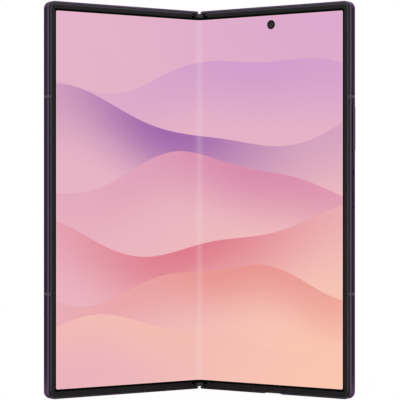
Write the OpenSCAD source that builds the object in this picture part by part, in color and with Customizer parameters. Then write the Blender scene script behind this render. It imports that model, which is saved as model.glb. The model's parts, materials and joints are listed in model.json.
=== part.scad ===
// A smartphone that opens like a book: two thin halves, a gear-coupled hinge in a
// rounded spine, and one bending display across both. It stands upright, half open.
// Section sketches use x across the phone and y into it; z runs up the hinge.
// Both halves are drawn flat, with x from the hinge line outwards, then turned.

/* [Body] */
// Height of the phone, along the hinge
body_h = 158.4; // [150:0.2:175]
// Width of one half, from the hinge line to its outer edge
half_w = 71.6; // [70:0.2:80]
// Thickness of one half
body_t = 4.2; // [4.2:0.1:6]
// Opening angle in which the phone stands
rest_open = 113.9; // [80:0.1:150]
// Gap between the two faces when it is shut
fold_gap = 0.5; // [0.4:0.05:0.8]
// Radius of the outer corners, seen from the front
corner_r = 3; // [2.9:0.1:3.6]
// Bevel along the frame's outer edges
edge_bevel = 0.3; // [0.1:0.05:0.4]

/* [Frame] */
// Thickness of the frame's outer wall
rail_w = 1.6; // [1.3:0.1:2]
// Width of the metal lip that shows round the display
lip_w = 0.7; // [0.5:0.05:0.75]
// Width of the metal lip that shows round the back glass
back_lip_w = 0.85; // [0.7:0.05:1]
// Thickness of the plate between the display and the inner parts
midplate_t = 0.4; // [0.3:0.05:0.5]
// Thickness of the frame's tips that reach over the spine's ends
tip_t = 0.85; // [0.7:0.05:0.95]
// Gap from the hinge line to each tip, when flat
tip_gap = 0.45; // [0.1:0.05:0.5]
// Rounding of the tips, seen from the front
tip_r = 1.1; // [0.8:0.1:1.4]
// Where the hinge-side wall ends and the inner room starts
hinge_wall_x = 5; // [4.8:0.1:6]
// Width of a plastic antenna break
break_w = 1; // [0.6:0.1:1.4]
// Depth of an antenna break
break_d = 0.8; // [0.7:0.05:0.9]
// Distance of the inner antenna break from the hinge
break_in_x = 26.8; // [24:0.2:29]
// Distance of the outer antenna break from the phone's side
break_side = 20.2; // [19.6:0.2:22]
// Height of the upper side break above the middle
break_up_z = 41.1; // [39:0.1:44]
// Depth of the lower side break below the middle
break_down_z = 37.4; // [30:0.1:45]

/* [Display] */
// How far the rim's crest stands in front of the display
rim_rise = 0.25; // [0.15:0.05:0.3]
// Thickness of the display panel
display_t = 0.5; // [0.4:0.05:0.5]
// Thickness of the support plate behind the display
support_t = 0.15; // [0.1:0.05:0.2]
// Thickness of the wing plates behind the fold
wing_t = 0.1; // [0.08:0.01:0.12]
// Distance of the rim's inner edge from the phone's edge
rim_w = 2.9; // [2.5:0.1:2.9]
// Distance of the rim's ends from the hinge line
rim_end_x = 4; // [3.8:0.1:5]
// Half width of the strip that bends
fold_x = 2.65; // [2.2:0.05:3.2]
// How far each wing plate reaches from the hinge line
wing_x = 9; // [8.6:0.1:10]

/* [Spine] */
// Outer radius of the spine cover round each fold axis
spine_r = 3.15; // [3.1:0.01:3.2]
// Wall of the spine cover
spine_wall = 0.4; // [0.3:0.02:0.42]
// Running gap between the spine and the halves
spine_gap = 0.1; // [0.06:0.01:0.12]
// How far the spine ends below the phone's top
spine_end = 1; // [1:0.05:1.3]
// Thickness of the spine cover's end walls
spine_end_wall = 0.6; // [0.4:0.05:0.8]
// Half width of the fold caps
cap_x = 2.5; // [2:0.1:2.6]

/* [Hinge] */
// Height of each hinge module above or below the middle
module_z = 45; // [36:0.5:54]
// Inner radius of the arc rotators
rotor_in_r = 1.5; // [1.45:0.01:1.6]
// Outer radius of the arc rotators
rotor_out_r = 2.1; // [1.9:0.01:2.15]
// Length of a rotator along the hinge
rotor_len = 3.8; // [3:0.1:4.2]
// Pitch radius of the four sync gears
gear_r = 0.6; // [0.58:0.005:0.61]
// Teeth on each sync gear
gear_teeth = 10; // [8:2:12]
// Face width of the sync gears
gear_len = 2; // [1.4:0.1:2.4]
// Depth of the gear row behind the front face
gear_y = 2.1; // [2.08:0.01:2.14]
// Radius of the arms' pins
arm_pin_r = 0.3; // [0.25:0.01:0.32]
// Radius of the idler gears' pins
idler_pin_r = 0.22; // [0.18:0.01:0.25]
// Running clearance on the pins
pin_gap = 0.02; // [0.01:0.005:0.03]
// Reach of a sync arm from its pin
arm_reach = 7; // [6.6:0.1:7.2]
// Thickness of a sync arm
arm_t = 0.35; // [0.25:0.01:0.36]
// Width of a sync arm along the hinge
arm_w = 2.85; // [2:0.05:3]
// Disc springs on each arm pin
disc_count = 6; // [4:1:7]

/* [Keys] */
// Length of the volume rocker
volume_len = 18.6; // [16:0.2:20]
// Height of the volume rocker's middle above the phone's middle
volume_z = 28.5; // [27:0.5:29]
// How far the volume rocker stands out
volume_proud = 0.6; // [0.3:0.05:0.7]
// Length of the side key
side_key_len = 13.5; // [12:0.5:14]
// Height of the side key's middle above the phone's middle
side_key_z = 4; // [2:0.5:5]
// Height of both keys across the frame
key_h = 1.4; // [1.2:0.1:1.8]
// Distance of the keys' middle from the back
key_back = 1.5; // [1.4:0.05:1.6]
// Clearance round the keys
key_gap = 0.1; // [0.06:0.01:0.12]

/* [Cameras] */
// Distance of the inner camera from the hinge
inner_cam_x = 34.9; // [33:0.1:38]
// Distance of the inner camera from the phone's top
inner_cam_top = 7.55; // [7.2:0.05:9]
// Radius of the hole in the display
inner_cam_r = 1.9; // [1.6:0.1:2.2]
// Radius of the camera island's ends
island_r = 8.7; // [8.4:0.1:9]
// How far the island stands out from the back
island_h = 1.4; // [1.2:0.1:2]
// Distance of the island from the phone's side
island_side = 4.2; // [3.8:0.1:5]
// Distance of the island from the phone's top
island_top = 4.5; // [4:0.1:6]
// Spacing of the three lenses
lens_pitch = 16.2; // [15.4:0.1:16.6]
// Outer radius of a lens ring
lens_ring_r = 6.9; // [6.4:0.1:7.2]
// Radius of a lens glass
lens_r = 5.2; // [4.8:0.1:5.5]
// How far a lens ring stands out from the island
lens_ring_h = 0.6; // [0.4:0.05:0.9]
// Radius of the flash window
flash_r = 2.2; // [1.8:0.1:2.6]
// Radius of the cover camera
cover_cam_r = 1.9; // [1.6:0.1:2.2]
// Distance of the cover camera from the phone's top
cover_cam_top = 6; // [5.5:0.1:8]

/* [Ports] */
// Width of the charging port's opening
port_w = 8.34; // [8.3:0.02:8.4]
// Height of the charging port's opening
port_h = 2.56; // [2.5:0.02:2.58]
// Sheet thickness of the port's shell
port_wall = 0.14; // [0.1:0.01:0.14]
// Length of the port's shell
port_len = 7; // [6.4:0.1:7.6]
// Radius of a speaker or microphone hole
sound_r = 0.45; // [0.3:0.05:0.55]
// Spacing of the speaker holes
sound_pitch = 1.8; // [1.5:0.1:2.2]
// Distance of the card tray's middle from the phone's side
tray_side = 10.6; // [10.4:0.1:11.2]
// Width of the card tray's cap
tray_w = 13; // [12.9:0.1:13.2]
// Length of the card tray
tray_len = 20; // [18:0.5:22]

/* [Inside] */
// Thickness of the back glass and the cover glass
glass_t = 0.35; // [0.3:0.05:0.4]
// Thickness of the cover display panel
cover_panel_t = 0.4; // [0.3:0.05:0.5]
// Thickness of the boards
board_t = 0.6; // [0.5:0.05:0.8]
// Thickness of the charging coil
coil_t = 0.15; // [0.1:0.01:0.18]
// Margin of the charging coil within the battery's width
coil_margin = 6; // [4:0.5:10]
// Gap between each battery and the frame beside it
battery_side = 3.1; // [1:0.1:6]
// Height of each battery
battery_h = 64; // [56:0.5:66]
// Gap kept round the inner parts
fit = 0.05; // [0.03:0.01:0.08]

/* [Hidden] */
$fn = 48;

eps = 0.01;
turn = (180 - rest_open) / 2;      // how far each half is turned from flat

// depths behind the front face
display_y = rim_rise;
support_y = display_y + display_t;
wing_y = support_y + support_t;
plate_y = wing_y + wing_t;
room_y = wing_y + midplate_t;      // front of the inner room
glass_y = body_t - glass_t;        // back of the inner room
cover_panel_y = glass_y - cover_panel_t;

// fold axes: on the display's neutral layer
axis_y = display_y + display_t / 2;
axis_x = axis_y + fold_gap / 2;
room_r = spine_r + spine_gap;      // the halves keep clear of this radius
spine_top = body_h / 2 - spine_end;
spine_edge_y = plate_y + 0.1;      // the cover's edges stop here
spine_floor_y = axis_y + spine_r - spine_wall;
bracket_top_y = spine_edge_y + 0.25;

// outlines of the display
panel_edge = rim_w - 0.15;         // the display reaches this far under the rim
panel_x = half_w - panel_edge;
panel_h = body_h - 2 * panel_edge;
rim_out = lip_w + 0.1;
rim_foot = rim_out + 1.3;

// bending strip at rest: concentric arcs that meet both halves' display
fold_r = (axis_x + (fold_x - axis_x) * cos(turn) + (display_y - axis_y) * sin(turn))
  / sin(turn);
fold_cy = axis_y - (fold_x - axis_x) * sin(turn) + (display_y - axis_y) * cos(turn)
  - fold_r * cos(turn);

// hinge module, lengths along z from the module's middle
rotor_gap = 0.05;
groove_len = rotor_len + 0.2;
groove_wall = 0.8;
right_groove_z = -9;
left_groove_z = right_groove_z + groove_len + groove_wall;
gear_wall_z = left_groove_z + groove_len;
gear_room_z = gear_wall_z + groove_wall;
gear_z = gear_room_z + 0.1;
knuckle_z = gear_z + gear_len;
knuckle_len = 3;
disc_pitch = 0.28;
disc_z = knuckle_z + knuckle_len + 0.05;
end_wall_z = disc_z + disc_count * disc_pitch + 0.05;
end_wall_t = 0.8;
module_low = right_groove_z - 1;
module_high = end_wall_z + end_wall_t;
ear_len = 2.6;
ear_t = 0.7;
screw_r = 0.35;
screw_head_r = 0.7;
screw_head_t = 0.2;
bracket_floor_y = spine_floor_y - 0.35;

// sync gears
gear_x = 3 * gear_r;               // arm pins; the idlers sit at gear_r
tooth = 2 * gear_r / gear_teeth;   // module of the teeth
gear_tip_r = gear_r + 0.9 * tooth;
gear_root_r = gear_r - 1.15 * tooth;
pressure_angle = 25;
gear_base_r = gear_r * cos(pressure_angle);
knuckle_r = gear_r;
arm_drop = 0.5;                    // the arm's front face, in front of its pin
sweep = sqrt(pow(gear_x - axis_x, 2) + pow(gear_y - axis_y, 2));
arm_room_y = axis_y + sweep - arm_drop + arm_t + 0.1;
arm_end_x = gear_x + arm_reach;
arm_room_x = arm_end_x + 0.4;

// rotator plates and their screws
rotor_plate_t = room_y - plate_y;
rotor_end_x = wing_x - 1;
rotor_screw_x = (hinge_wall_x + rotor_end_x) / 2 + 0.2;
boss_x = rotor_end_x + 0.3;
boss_y = room_y + 1.1;

// inner rooms
room_x = half_w - rail_w;
room_z = body_h / 2 - rail_w;
part_y = room_y + fit;
break_out_x = half_w - break_side;

// keys
key_y = body_t - key_back;
flange_t = 0.25;
rocker_play = 0.3;
flange_x = room_x - rocker_play;
nub_x = flange_x - flange_t - 0.25;
switch_x = nub_x - 0.3;
switch_t = 0.3;
strip_t = 0.2;
rib_x = switch_x - switch_t - strip_t;
rib_t = 0.5;

// charging port, card tray
port_out_w = port_w + 2 * port_wall;
port_out_h = port_h + 2 * port_wall;
port_x = half_w / 2;
port_y = glass_y - fit - port_out_h / 2;
port_z = -body_h / 2 + 0.35;
scoop_w = 7.2;
scoop_d = 0.35;
tray_x = half_w - tray_side;
tray_t = 0.8;
tray_y = (room_y + cover_panel_y) / 2;
tray_cap_h = 1.4;
reader_wall = 0.12;
card_w = 8.8;
card_len = 12.3;
card_t = 0.67;

// cameras
inner_cam_z = body_h / 2 - inner_cam_top;
island_x = half_w - island_side - island_r;
island_z = body_h / 2 - island_top - island_r;
cover_cam_z = body_h / 2 - cover_cam_top;
flash_x = island_x - island_r - 4.5;
flash_z = island_z - lens_pitch / 2;
module_w = 2 * lens_r + 0.6;       // square body of a rear camera

// batteries, boards and coil
battery_x = arm_room_x + 1.6;
battery_w = rib_x - rib_t - battery_side - battery_x;
battery_top_z = 14;
board_low_z = battery_top_z + 1.5;
can_low_z = battery_top_z + 2.5;
can_w = 15.5;
can_h = 22;
can_gap = 1.5;
upper_can_w = 24;
upper_can_h = 18;
coil_turn = 2;                     // pitch of the coil's turns
coil_out_r = min(battery_w, battery_h) / 2 - coil_margin;
coil_in_r = coil_out_r - 6 * coil_turn;
speaker_w = 18;
speaker_h = 13;
speaker_x = port_x + speaker_w - 1;
motor_r = 5;
motor_x = room_x - motor_r - 7;
motor_z = -room_z + motor_r + 2;
earpiece_x = 18;
left_board_h = room_z - board_low_z - tray_len - 12;   // leaves room for the tray's shell
mid_y = (axis_y - (half_w - edge_bevel - axis_x) * sin(turn) - axis_y * cos(turn)
  + axis_y + (axis_x - tip_gap) * sin(turn) + (body_t - axis_y) * cos(turn)) / 2;

// ribbon cable, lying on the back of both boards
ribbon_w = 10;
ribbon_t = 0.15;
ribbon_z = battery_top_z + 2.5 + ribbon_w / 2;
ribbon_y = part_y + board_t + ribbon_t / 2 + 0.02;
ribbon_dip_y = spine_floor_y - 0.6;
ribbon_end_x = battery_x + 0.8;

metal = "#3a3440";
dark_metal = "#2c2a30";
soft_black = "#1c1c1e";
steel = "#b4b6ba";
brass = "#c8a860";
glass_black = "#101014";
board_green = "#24503c";
battery_grey = "#4a4c50";

// ---- placing ------------------------------------------------------------

// the fixed spine, with the phone standing on its lower edge
module on_spine() {
  translate([0, -mid_y, body_h / 2]) children();
}

// a right-hand part drawn flat, turned about its fold axis
module on_right() {
  on_spine() translate([axis_x, axis_y, 0]) rotate([0, 0, -turn])
    translate([-axis_x, -axis_y, 0]) children();
}

module on_left() {
  mirror([1, 0, 0]) on_right() children();
}

module at_modules() {
  for (z = [-module_z, module_z]) translate([0, 0, z]) children();
}

// a sketch seen from the front: its z runs into the phone
module front_plan() {
  rotate([90, 0, 0]) mirror([0, 0, 1]) children();
}

module in_depth(y0, y1) {
  front_plan() translate([0, 0, y0]) linear_extrude(y1 - y0) children();
}

module along_z(z0, z1) {
  translate([0, 0, z0]) linear_extrude(z1 - z0) children();
}

module block(x0, x1, y0, y1, z0, z1) {
  translate([x0, y0, z0]) cube([x1 - x0, y1 - y0, z1 - z0]);
}

// ---- sketches -----------------------------------------------------------

// a rectangle from x0 to x1 whose two corners at x1 are rounded
module outer_round(x0, x1, h, r) {
  translate([x0, -h / 2]) square([x1 - r - x0, h]);
  translate([x0, -h / 2 + r]) square([x1 - x0, h - 2 * r]);
  for (s = [-1, 1]) translate([x1 - r, s * (h / 2 - r)]) circle(r);
}

// a rectangle with four rounded corners
module round_rect(w, h, r) {
  square([w - 2 * r, h], center = true);
  square([w, h - 2 * r], center = true);
  for (s = [-1, 1], t = [-1, 1]) translate([s * (w / 2 - r), t * (h / 2 - r)]) circle(r);
}

// a bar with fully round ends
module capsule(len, h) {
  square([len - h, h], center = true);
  for (s = [-1, 1]) translate([s * (len - h) / 2, 0]) circle(h / 2);
}

module display_outline(x0) {
  outer_round(x0, panel_x, panel_h, 0.3);
}

// frame wall in section: u from the outer edge inwards, y into the phone
module rail_section() {
  polygon([
    [0, edge_bevel], [edge_bevel, 0], [lip_w, 0], [lip_w, wing_y], [rail_w, wing_y],
    [rail_w, glass_y], [back_lip_w, glass_y], [back_lip_w, body_t],
    [edge_bevel, body_t], [0, body_t - edge_bevel]
  ]);
}

module tip_section() {
  polygon([
    [0, edge_bevel], [edge_bevel, 0], [tip_t, 0], [tip_t, body_t],
    [edge_bevel, body_t], [0, body_t - edge_bevel]
  ]);
}

// rim in section: a crest with rounded shoulders and a foot on the frame's ledge
module rim_section() {
  shoulder = 0.5;
  lap = min(rim_rise, 0.2);
  crest_end = corner_r - eps;      // just short of the corner's centre
  translate([rim_out, shoulder]) square([rim_foot - rim_out, wing_y - shoulder]);
  translate([rim_out + shoulder, 0]) square([crest_end - rim_out - shoulder, rim_rise]);
  translate([rim_out + shoulder, lap]) square([rim_foot - rim_out - shoulder, shoulder]);
  intersection() {
    translate([rim_out + shoulder, shoulder]) circle(shoulder);
    translate([rim_out, 0]) square([shoulder + eps, shoulder + eps]);
  }
}

// sweeps a section along the top, outer side and bottom of a half
module edge_ring(x_start) {
  straight = half_w - corner_r - x_start;
  along_z(-body_h / 2 + corner_r, body_h / 2 - corner_r)
    translate([half_w, 0]) mirror([1, 0]) children();
  for (m = [0, 1]) mirror([0, 0, m]) {
    translate([half_w - corner_r, 0, 0]) rotate([0, -90, 0]) linear_extrude(straight)
      translate([body_h / 2, 0]) mirror([1, 0]) children();
    translate([half_w - corner_r, 0, body_h / 2 - corner_r]) front_plan()
      rotate_extrude(angle = 90) translate([corner_r, 0]) mirror([1, 0]) children();
  }
}

// outline of the spine at radius r round both fold axes, behind depth y
module spine_section(r, y) {
  intersection() {
    union() {
      for (s = [-1, 1]) translate([s * axis_x, axis_y]) circle(r, $fn = 96);
      translate([-axis_x, axis_y]) square([2 * axis_x, r]);
    }
    translate([-r - axis_x, y]) square([2 * (r + axis_x), r + axis_y]);
  }
}

// ring sector round the right fold axis, from angle a0 to a1 (0 is outwards)
module axis_sector(r0, r1, a0, a1) {
  far = 2 * r1;
  translate([axis_x, axis_y]) intersection() {
    difference() {
      circle(r1, $fn = 96);
      circle(r0, $fn = 96);
    }
    polygon([
      [0, 0], [far * cos(a0), far * sin(a0)],
      [far * cos((a0 + a1) / 2), far * sin((a0 + a1) / 2)],
      [far * cos(a1), far * sin(a1)]
    ]);
  }
}

// involute tooth flank: half angle at radius r, in degrees
function involute(a) = tan(a) * 180 / PI - a;
function flank_at(r) = 90 / gear_teeth * 0.9 + involute(pressure_angle)
  - involute(acos(min(1, gear_base_r / max(r, gear_base_r))));
function polar(r, a) = [r * cos(a), r * sin(a)];

// sync gear with a tooth at angle "start"
module gear_section(start) {
  steps = 3;
  rise = (gear_tip_r - gear_base_r) / steps;
  radii = [gear_root_r, for (k = [0:steps]) gear_base_r + k * rise];
  polygon([for (i = [0:gear_teeth - 1]) let (mid = start + i * 360 / gear_teeth)
    each concat(
      [for (r = radii) polar(r, mid - flank_at(r))],
      [for (k = [len(radii) - 1:-1:0]) polar(radii[k], mid + flank_at(radii[k]))]
    )]);
}

// ---- spine --------------------------------------------------------------

module spine_cover() {
  color(metal) on_spine() difference() {
    along_z(-spine_top, spine_top) spine_section(spine_r, spine_edge_y);
    along_z(-spine_top + spine_end_wall, spine_top - spine_end_wall)
      spine_section(spine_r - spine_wall, spine_edge_y - eps);
    // the end walls stop level with the brackets, under the fold caps
    for (s = [-1, 1]) translate([0, 0, s * spine_top])
      block(-cap_x - fit, cap_x + fit, 0, bracket_top_y, -spine_end_wall - eps,
        spine_end_wall + eps);
    // notches for the rotator plates and the sync arms
    at_modules() {
      rotor_notch(right_groove_z, 1);
      rotor_notch(left_groove_z, -1);
      for (s = [-1, 1]) mirror([s < 0 ? 1 : 0, 0, 0]) arm_notch();
      bracket_screw_places() translate([0, spine_floor_y - eps, 0]) rotate([-90, 0, 0])
        cylinder(r = screw_r, h = 0.3);
    }
  }
}

module rotor_notch(z, side) {
  mirror([side < 0 ? 1 : 0, 0, 0])
    block(axis_x + rotor_out_r, axis_x + spine_r + 1, 0, room_y + 0.1, z, z + groove_len);
}

module arm_notch() {
  block(gear_x, axis_x + spine_r + 1, 0, gear_y - arm_drop + arm_t + 0.1,
    knuckle_z - 0.1, knuckle_z + arm_w + 0.2);
}

module bracket_screw_places() {
  for (z = [module_low - ear_len / 2, module_high + ear_len / 2])
    translate([0, 0, z]) children();
}

// one bracket: two arc grooves, a gear room between bearing walls, and screwed ears
module hinge_bracket() {
  r = spine_r - spine_wall - fit;
  difference() {
    union() {
      along_z(module_low, gear_room_z) spine_section(r, bracket_top_y);
      along_z(module_low - ear_len, module_high + ear_len)
        spine_section(r, bracket_floor_y);
      along_z(end_wall_z, module_high) spine_section(r, bracket_top_y);
      // low wall that holds the idler pins' far ends
      block(-gear_x + knuckle_r + 0.1, gear_x - knuckle_r - 0.1, gear_y - 0.45,
        bracket_floor_y + eps, knuckle_z + 0.1, knuckle_z + 0.7);
    }
    for (side = [0, 1]) mirror([side, 0, 0]) {
      z = side == 0 ? right_groove_z : left_groove_z;
      along_z(z, z + groove_len)
        axis_sector(rotor_in_r - rotor_gap, rotor_out_r + rotor_gap, 0, 179);
      // blind bores of the arm pin and the idler pin
      translate([gear_x, gear_y, gear_wall_z + 0.15])
        cylinder(r = arm_pin_r + eps, h = module_high + 1);
      translate([gear_r, gear_y, gear_wall_z + 0.15])
        cylinder(r = idler_pin_r + eps, h = knuckle_z + 0.8 - gear_wall_z);
    }
    bracket_screw_places() translate([0, bracket_floor_y - 1, 0]) rotate([-90, 0, 0])
      cylinder(r = screw_r + fit, h = 3);
  }
}

module hinge_bracket_upper() {
  color(steel) on_spine() translate([0, 0, module_z]) hinge_bracket();
}

module hinge_bracket_lower() {
  color(steel) on_spine() translate([0, 0, -module_z]) hinge_bracket();
}

module hinge_pins() {
  color(steel) on_spine() at_modules() for (s = [-1, 1]) {
    translate([s * gear_x, gear_y, gear_wall_z + 0.2])
      cylinder(r = arm_pin_r, h = module_high - gear_wall_z - 0.25);
    translate([s * gear_r, gear_y, gear_wall_z + 0.2])
      cylinder(r = idler_pin_r, h = knuckle_z + 0.6 - gear_wall_z - 0.2);
  }
}

// cone-shaped spring washers, stacked tip to tip on each arm pin
module disc_springs() {
  t = 0.09;
  cone = disc_pitch - t - 0.02;
  in_r = arm_pin_r + 0.03;
  out_r = knuckle_r;
  color(steel) on_spine() at_modules() for (s = [-1, 1], i = [0:disc_count - 1])
    translate([s * gear_x, gear_y, disc_z + (i + 0.5) * disc_pitch]) mirror([0, 0, i % 2])
      rotate_extrude() polygon([
        [in_r, -cone / 2 - t / 2], [out_r, cone / 2 - t / 2],
        [out_r, cone / 2 + t / 2], [in_r, -cone / 2 + t / 2]
      ]);
}

module bracket_screws() {
  color(dark_metal) on_spine() at_modules() bracket_screw_places() {
    translate([0, bracket_floor_y - screw_head_t, 0]) rotate([-90, 0, 0])
      screw(screw_head_t, 0.35 + 0.2);
  }
}

// a flat-head screw with a cross recess, its head at z = 0
module screw(head_t, shank) {
  difference() {
    union() {
      cylinder(r = screw_head_r, h = head_t);
      cylinder(r = screw_r, h = head_t + shank);
    }
    for (a = [0, 90]) rotate([0, 0, a]) translate([-0.4, -0.08, -eps])
      cube([0.8, 0.16, head_t * 0.6]);
  }
}

// the cap that closes the gap between the rims, crowned in front
module fold_cap() {
  low = spine_top - (body_h / 2 - spine_end - panel_h / 2) + fit;
  crest = display_y - 0.1;
  sole = bracket_top_y;
  along_z(low, spine_top) polygon([
    [-cap_x, sole], [-cap_x, crest + 0.35], [-cap_x + 0.4, crest + 0.12], [-0.7, crest],
    [0.7, crest], [cap_x - 0.4, crest + 0.12], [cap_x, crest + 0.35], [cap_x, sole]
  ]);
  // a foot behind the end wall
  block(-1.2, 1.2, sole - eps, sole + 1.1, low, spine_top - spine_end_wall - fit);
}

module fold_cap_top() {
  color(soft_black) on_spine() fold_cap();
}

module fold_cap_bottom() {
  color(soft_black) on_spine() mirror([0, 0, 1]) fold_cap();
}

module display_fold() {
  depth = display_t + support_t;
  far = fold_r + 2 * depth;
  color("#d9a9c4") on_spine() along_z(-panel_h / 2, panel_h / 2)
    translate([0, fold_cy]) intersection() {
      difference() {
        circle(fold_r + depth, $fn = 192);
        circle(fold_r, $fn = 192);
      }
      polygon([[0, 0], polar(far, 90 - turn), polar(far, 90), polar(far, 90 + turn)]);
    }
}

// ---- frame --------------------------------------------------------------

// the rotators of the two halves sit side by side, so each half has its own groove_z
module half_frame(groove_z) {
  difference() {
    union() {
      edge_ring(rim_end_x) rail_section();
      frame_tips();
      // midplate, with its thin step under the wing plate
      in_depth(wing_y, room_y)
        outer_round(rim_end_x, room_x + 0.2, body_h - 2 * rail_w + 0.4, corner_r - rail_w);
      // hinge-side wall, hollowed round the spine below
      block(tip_gap, hinge_wall_x, room_y - eps, body_t, -body_h / 2 + tip_t - eps,
        body_h / 2 - tip_t + eps);
      at_modules() rotor_boss(groove_z);
    }
    spine_room();
    in_depth(wing_y - eps, plate_y)
      translate([0, -body_h / 2 + rail_w]) square([wing_x + fit, body_h - 2 * rail_w]);
    // seat of the back glass in the hinge-side wall
    in_depth(glass_y, body_t + 1) outer_round(axis_x + 2 - fit, half_w - back_lip_w,
      body_h - 2 * back_lip_w, corner_r - back_lip_w);
    at_modules() {
      rotor_pocket(groove_z);
      arm_pocket();
    }
    ribbon_slot();
    tip_rounding();
    antenna_cuts();
  }
}

// straight tips that reach over the spine's ends to the hinge line
module frame_tips() {
  for (m = [0, 1]) mirror([0, 0, m])
    translate([rim_end_x + eps, 0, 0]) rotate([0, -90, 0])
      linear_extrude(rim_end_x + eps - tip_gap)
      translate([body_h / 2, 0]) mirror([1, 0]) tip_section();
}

// room in which the spine turns, seen from the half
module spine_room() {
  reach = body_h / 2 - tip_t;
  along_z(-reach, reach) {
    translate([axis_x, axis_y]) circle(room_r, $fn = 96);
    translate([-1, 0]) square([axis_x + 1, axis_y + room_r]);
  }
}

// rounds the tips round the fold axis, and their corners seen from the front
module tip_rounding() {
  front_r = axis_x - tip_gap;
  along_z(-body_h, body_h) difference() {
    translate([-1, -1]) square([1 + axis_x, 1 + axis_y]);
    translate([axis_x, axis_y]) circle(front_r);
  }
  for (m = [0, 1]) mirror([0, 0, m]) in_depth(-1, body_t + 1) difference() {
    translate([tip_gap - 1, body_h / 2 - tip_r]) square([tip_r + 1, tip_r + 1]);
    translate([tip_gap + tip_r, body_h / 2 - tip_r]) circle(tip_r);
  }
}

module rotor_boss(z) {
  block(hinge_wall_x - eps, boss_x, room_y - eps, boss_y, z - 0.4, z + groove_len + 0.4);
}

module rotor_pocket(z) {
  block(rim_end_x - 1, rotor_end_x + fit, wing_y - 1, room_y, z, z + groove_len);
  translate([rotor_screw_x, room_y - eps, z + groove_len / 2]) rotate([-90, 0, 0])
    cylinder(r = screw_r, h = 0.8);
}

module arm_pocket() {
  block(rim_end_x - 1, arm_room_x, wing_y - 1, arm_room_y, knuckle_z - 0.1,
    knuckle_z + arm_w + 0.2);
}

// antenna breaks: cuts across the rail, filled by plastic
module antenna_cuts() {
  for (x = [break_in_x, break_out_x], s = [-1, 1])
    translate([x, 0, s * (body_h / 2 + 1 - break_d)])
      block(-break_w / 2, break_w / 2, -1, body_t + 1, -1, 1);
  for (z = [break_up_z, -break_down_z])
    block(half_w - break_d, half_w + 1, -1, body_t + 1, z - break_w / 2, z + break_w / 2);
}

module antenna_breaks() {
  intersection() {
    edge_ring(rim_end_x) rail_section();
    antenna_cuts();
  }
}

module half_rim() {
  difference() {
    edge_ring(rim_end_x) rim_section();
    in_depth(-1, display_y) translate([-1, 0])
      outer_round(0, half_w - rim_w + 1, body_h - 2 * rim_w, 0.3);
  }
}

module half_display() {
  in_depth(display_y, support_y) display_outline(fold_x);
}

module half_support() {
  in_depth(support_y, wing_y) display_outline(fold_x);
}

module half_wing() {
  start = axis_x - 0.5;
  in_depth(wing_y, plate_y) translate([start, -panel_h / 2])
    square([wing_x - start, panel_h]);
}

// arc rotator: a crescent that slides in the bracket's groove, on a screwed plate
module rotor() {
  inner_x = axis_x + 1.35;
  difference() {
    union() {
      along_z(0, rotor_len) intersection() {
        axis_sector(rotor_in_r, rotor_out_r, 5, 150);
        translate([-5, plate_y]) square([10, 5]);
      }
      block(inner_x, rotor_end_x, plate_y, room_y, 0, rotor_len);
    }
    translate([rotor_screw_x, plate_y - eps, rotor_len / 2]) rotate([-90, 0, 0]) {
      cylinder(r = screw_r + fit, h = 1);
      cylinder(r = screw_head_r + fit, h = 0.12);
    }
  }
}

module rotor_places(groove_z) {
  at_modules() translate([0, 0, groove_z + 0.1]) children();
}

module rotor_screws(groove_z) {
  rotor_places(groove_z) translate([rotor_screw_x, plate_y, rotor_len / 2])
    rotate([-90, 0, 0]) screw(0.11, room_y - plate_y - 0.11 + 0.7);
}

// ---- right half ---------------------------------------------------------

module right_frame() {
  color(metal) on_right() difference() {
    union() {
      half_frame(right_groove_z);
      // rib behind the key switches
      block(rib_x - rib_t, rib_x, room_y - eps, glass_y - 0.3,
        side_key_z - side_key_len / 2, volume_z + volume_len / 2);
    }
    key_slot(volume_len, volume_z);
    key_slot(side_key_len, side_key_z);
    port_cut();
    for (i = [-2:2], end = [-1, 1]) translate([speaker_x + i * sound_pitch, key_y, 0])
      sound_hole(end);
    translate([port_x - 8, key_y, 0]) sound_hole(-1);
    translate([port_x - 13, key_y, 0]) sound_hole(1);
    camera_bore(inner_cam_x, inner_cam_z, 1.7);
  }
}

module sound_hole(end) {
  translate([0, 0, end * (body_h / 2 - rail_w / 2)])
    cylinder(r = sound_r, h = rail_w + 1, center = true, $fn = 24);
}

module key_slot(len, z) {
  translate([room_x - eps, key_y, z]) rotate([90, 0, 90]) linear_extrude(rail_w + 1)
    rotate(90) capsule(len + 2 * key_gap, key_h + 2 * key_gap);
}

module port_cut() {
  translate([port_x, port_y, -body_h / 2 - 1]) linear_extrude(port_len + 2)
    capsule(port_out_w + 0.2, port_out_h + 0.2);
  block(port_x - port_out_w / 2 - 0.3, port_x + port_out_w / 2 + 0.3, wing_y - eps,
    room_y + eps, -body_h / 2 + rail_w - eps, port_z + port_len + 0.5);
  // shallow scoop that shows in the lower edge
  in_depth(-1, body_t + 1) translate([port_x, -body_h / 2]) polygon([
    [-scoop_w / 2 - 0.6, -eps], [-scoop_w / 2, scoop_d], [scoop_w / 2, scoop_d],
    [scoop_w / 2 + 0.6, -eps]
  ]);
}

module camera_bore(x, z, r) {
  translate([x, 0, z]) rotate([-90, 0, 0]) cylinder(r = r, h = body_t + 5);
}

module right_antenna_breaks() {
  color(dark_metal) on_right() antenna_breaks();
}

module right_rim() {
  color(soft_black) on_right() half_rim();
}

module display_right() {
  color("#e8b8c8") on_right() difference() {
    half_display();
    camera_bore(inner_cam_x, inner_cam_z, inner_cam_r);
  }
}

module right_support_plate() {
  color(steel) on_right() difference() {
    half_support();
    camera_bore(inner_cam_x, inner_cam_z, inner_cam_r);
  }
}

module right_wing_plate() {
  color(steel) on_right() half_wing();
}

module right_rotators() {
  color(steel) on_right() rotor_places(right_groove_z) rotor();
}

module right_rotator_screws() {
  color(dark_metal) on_right() rotor_screws(right_groove_z);
}

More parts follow.
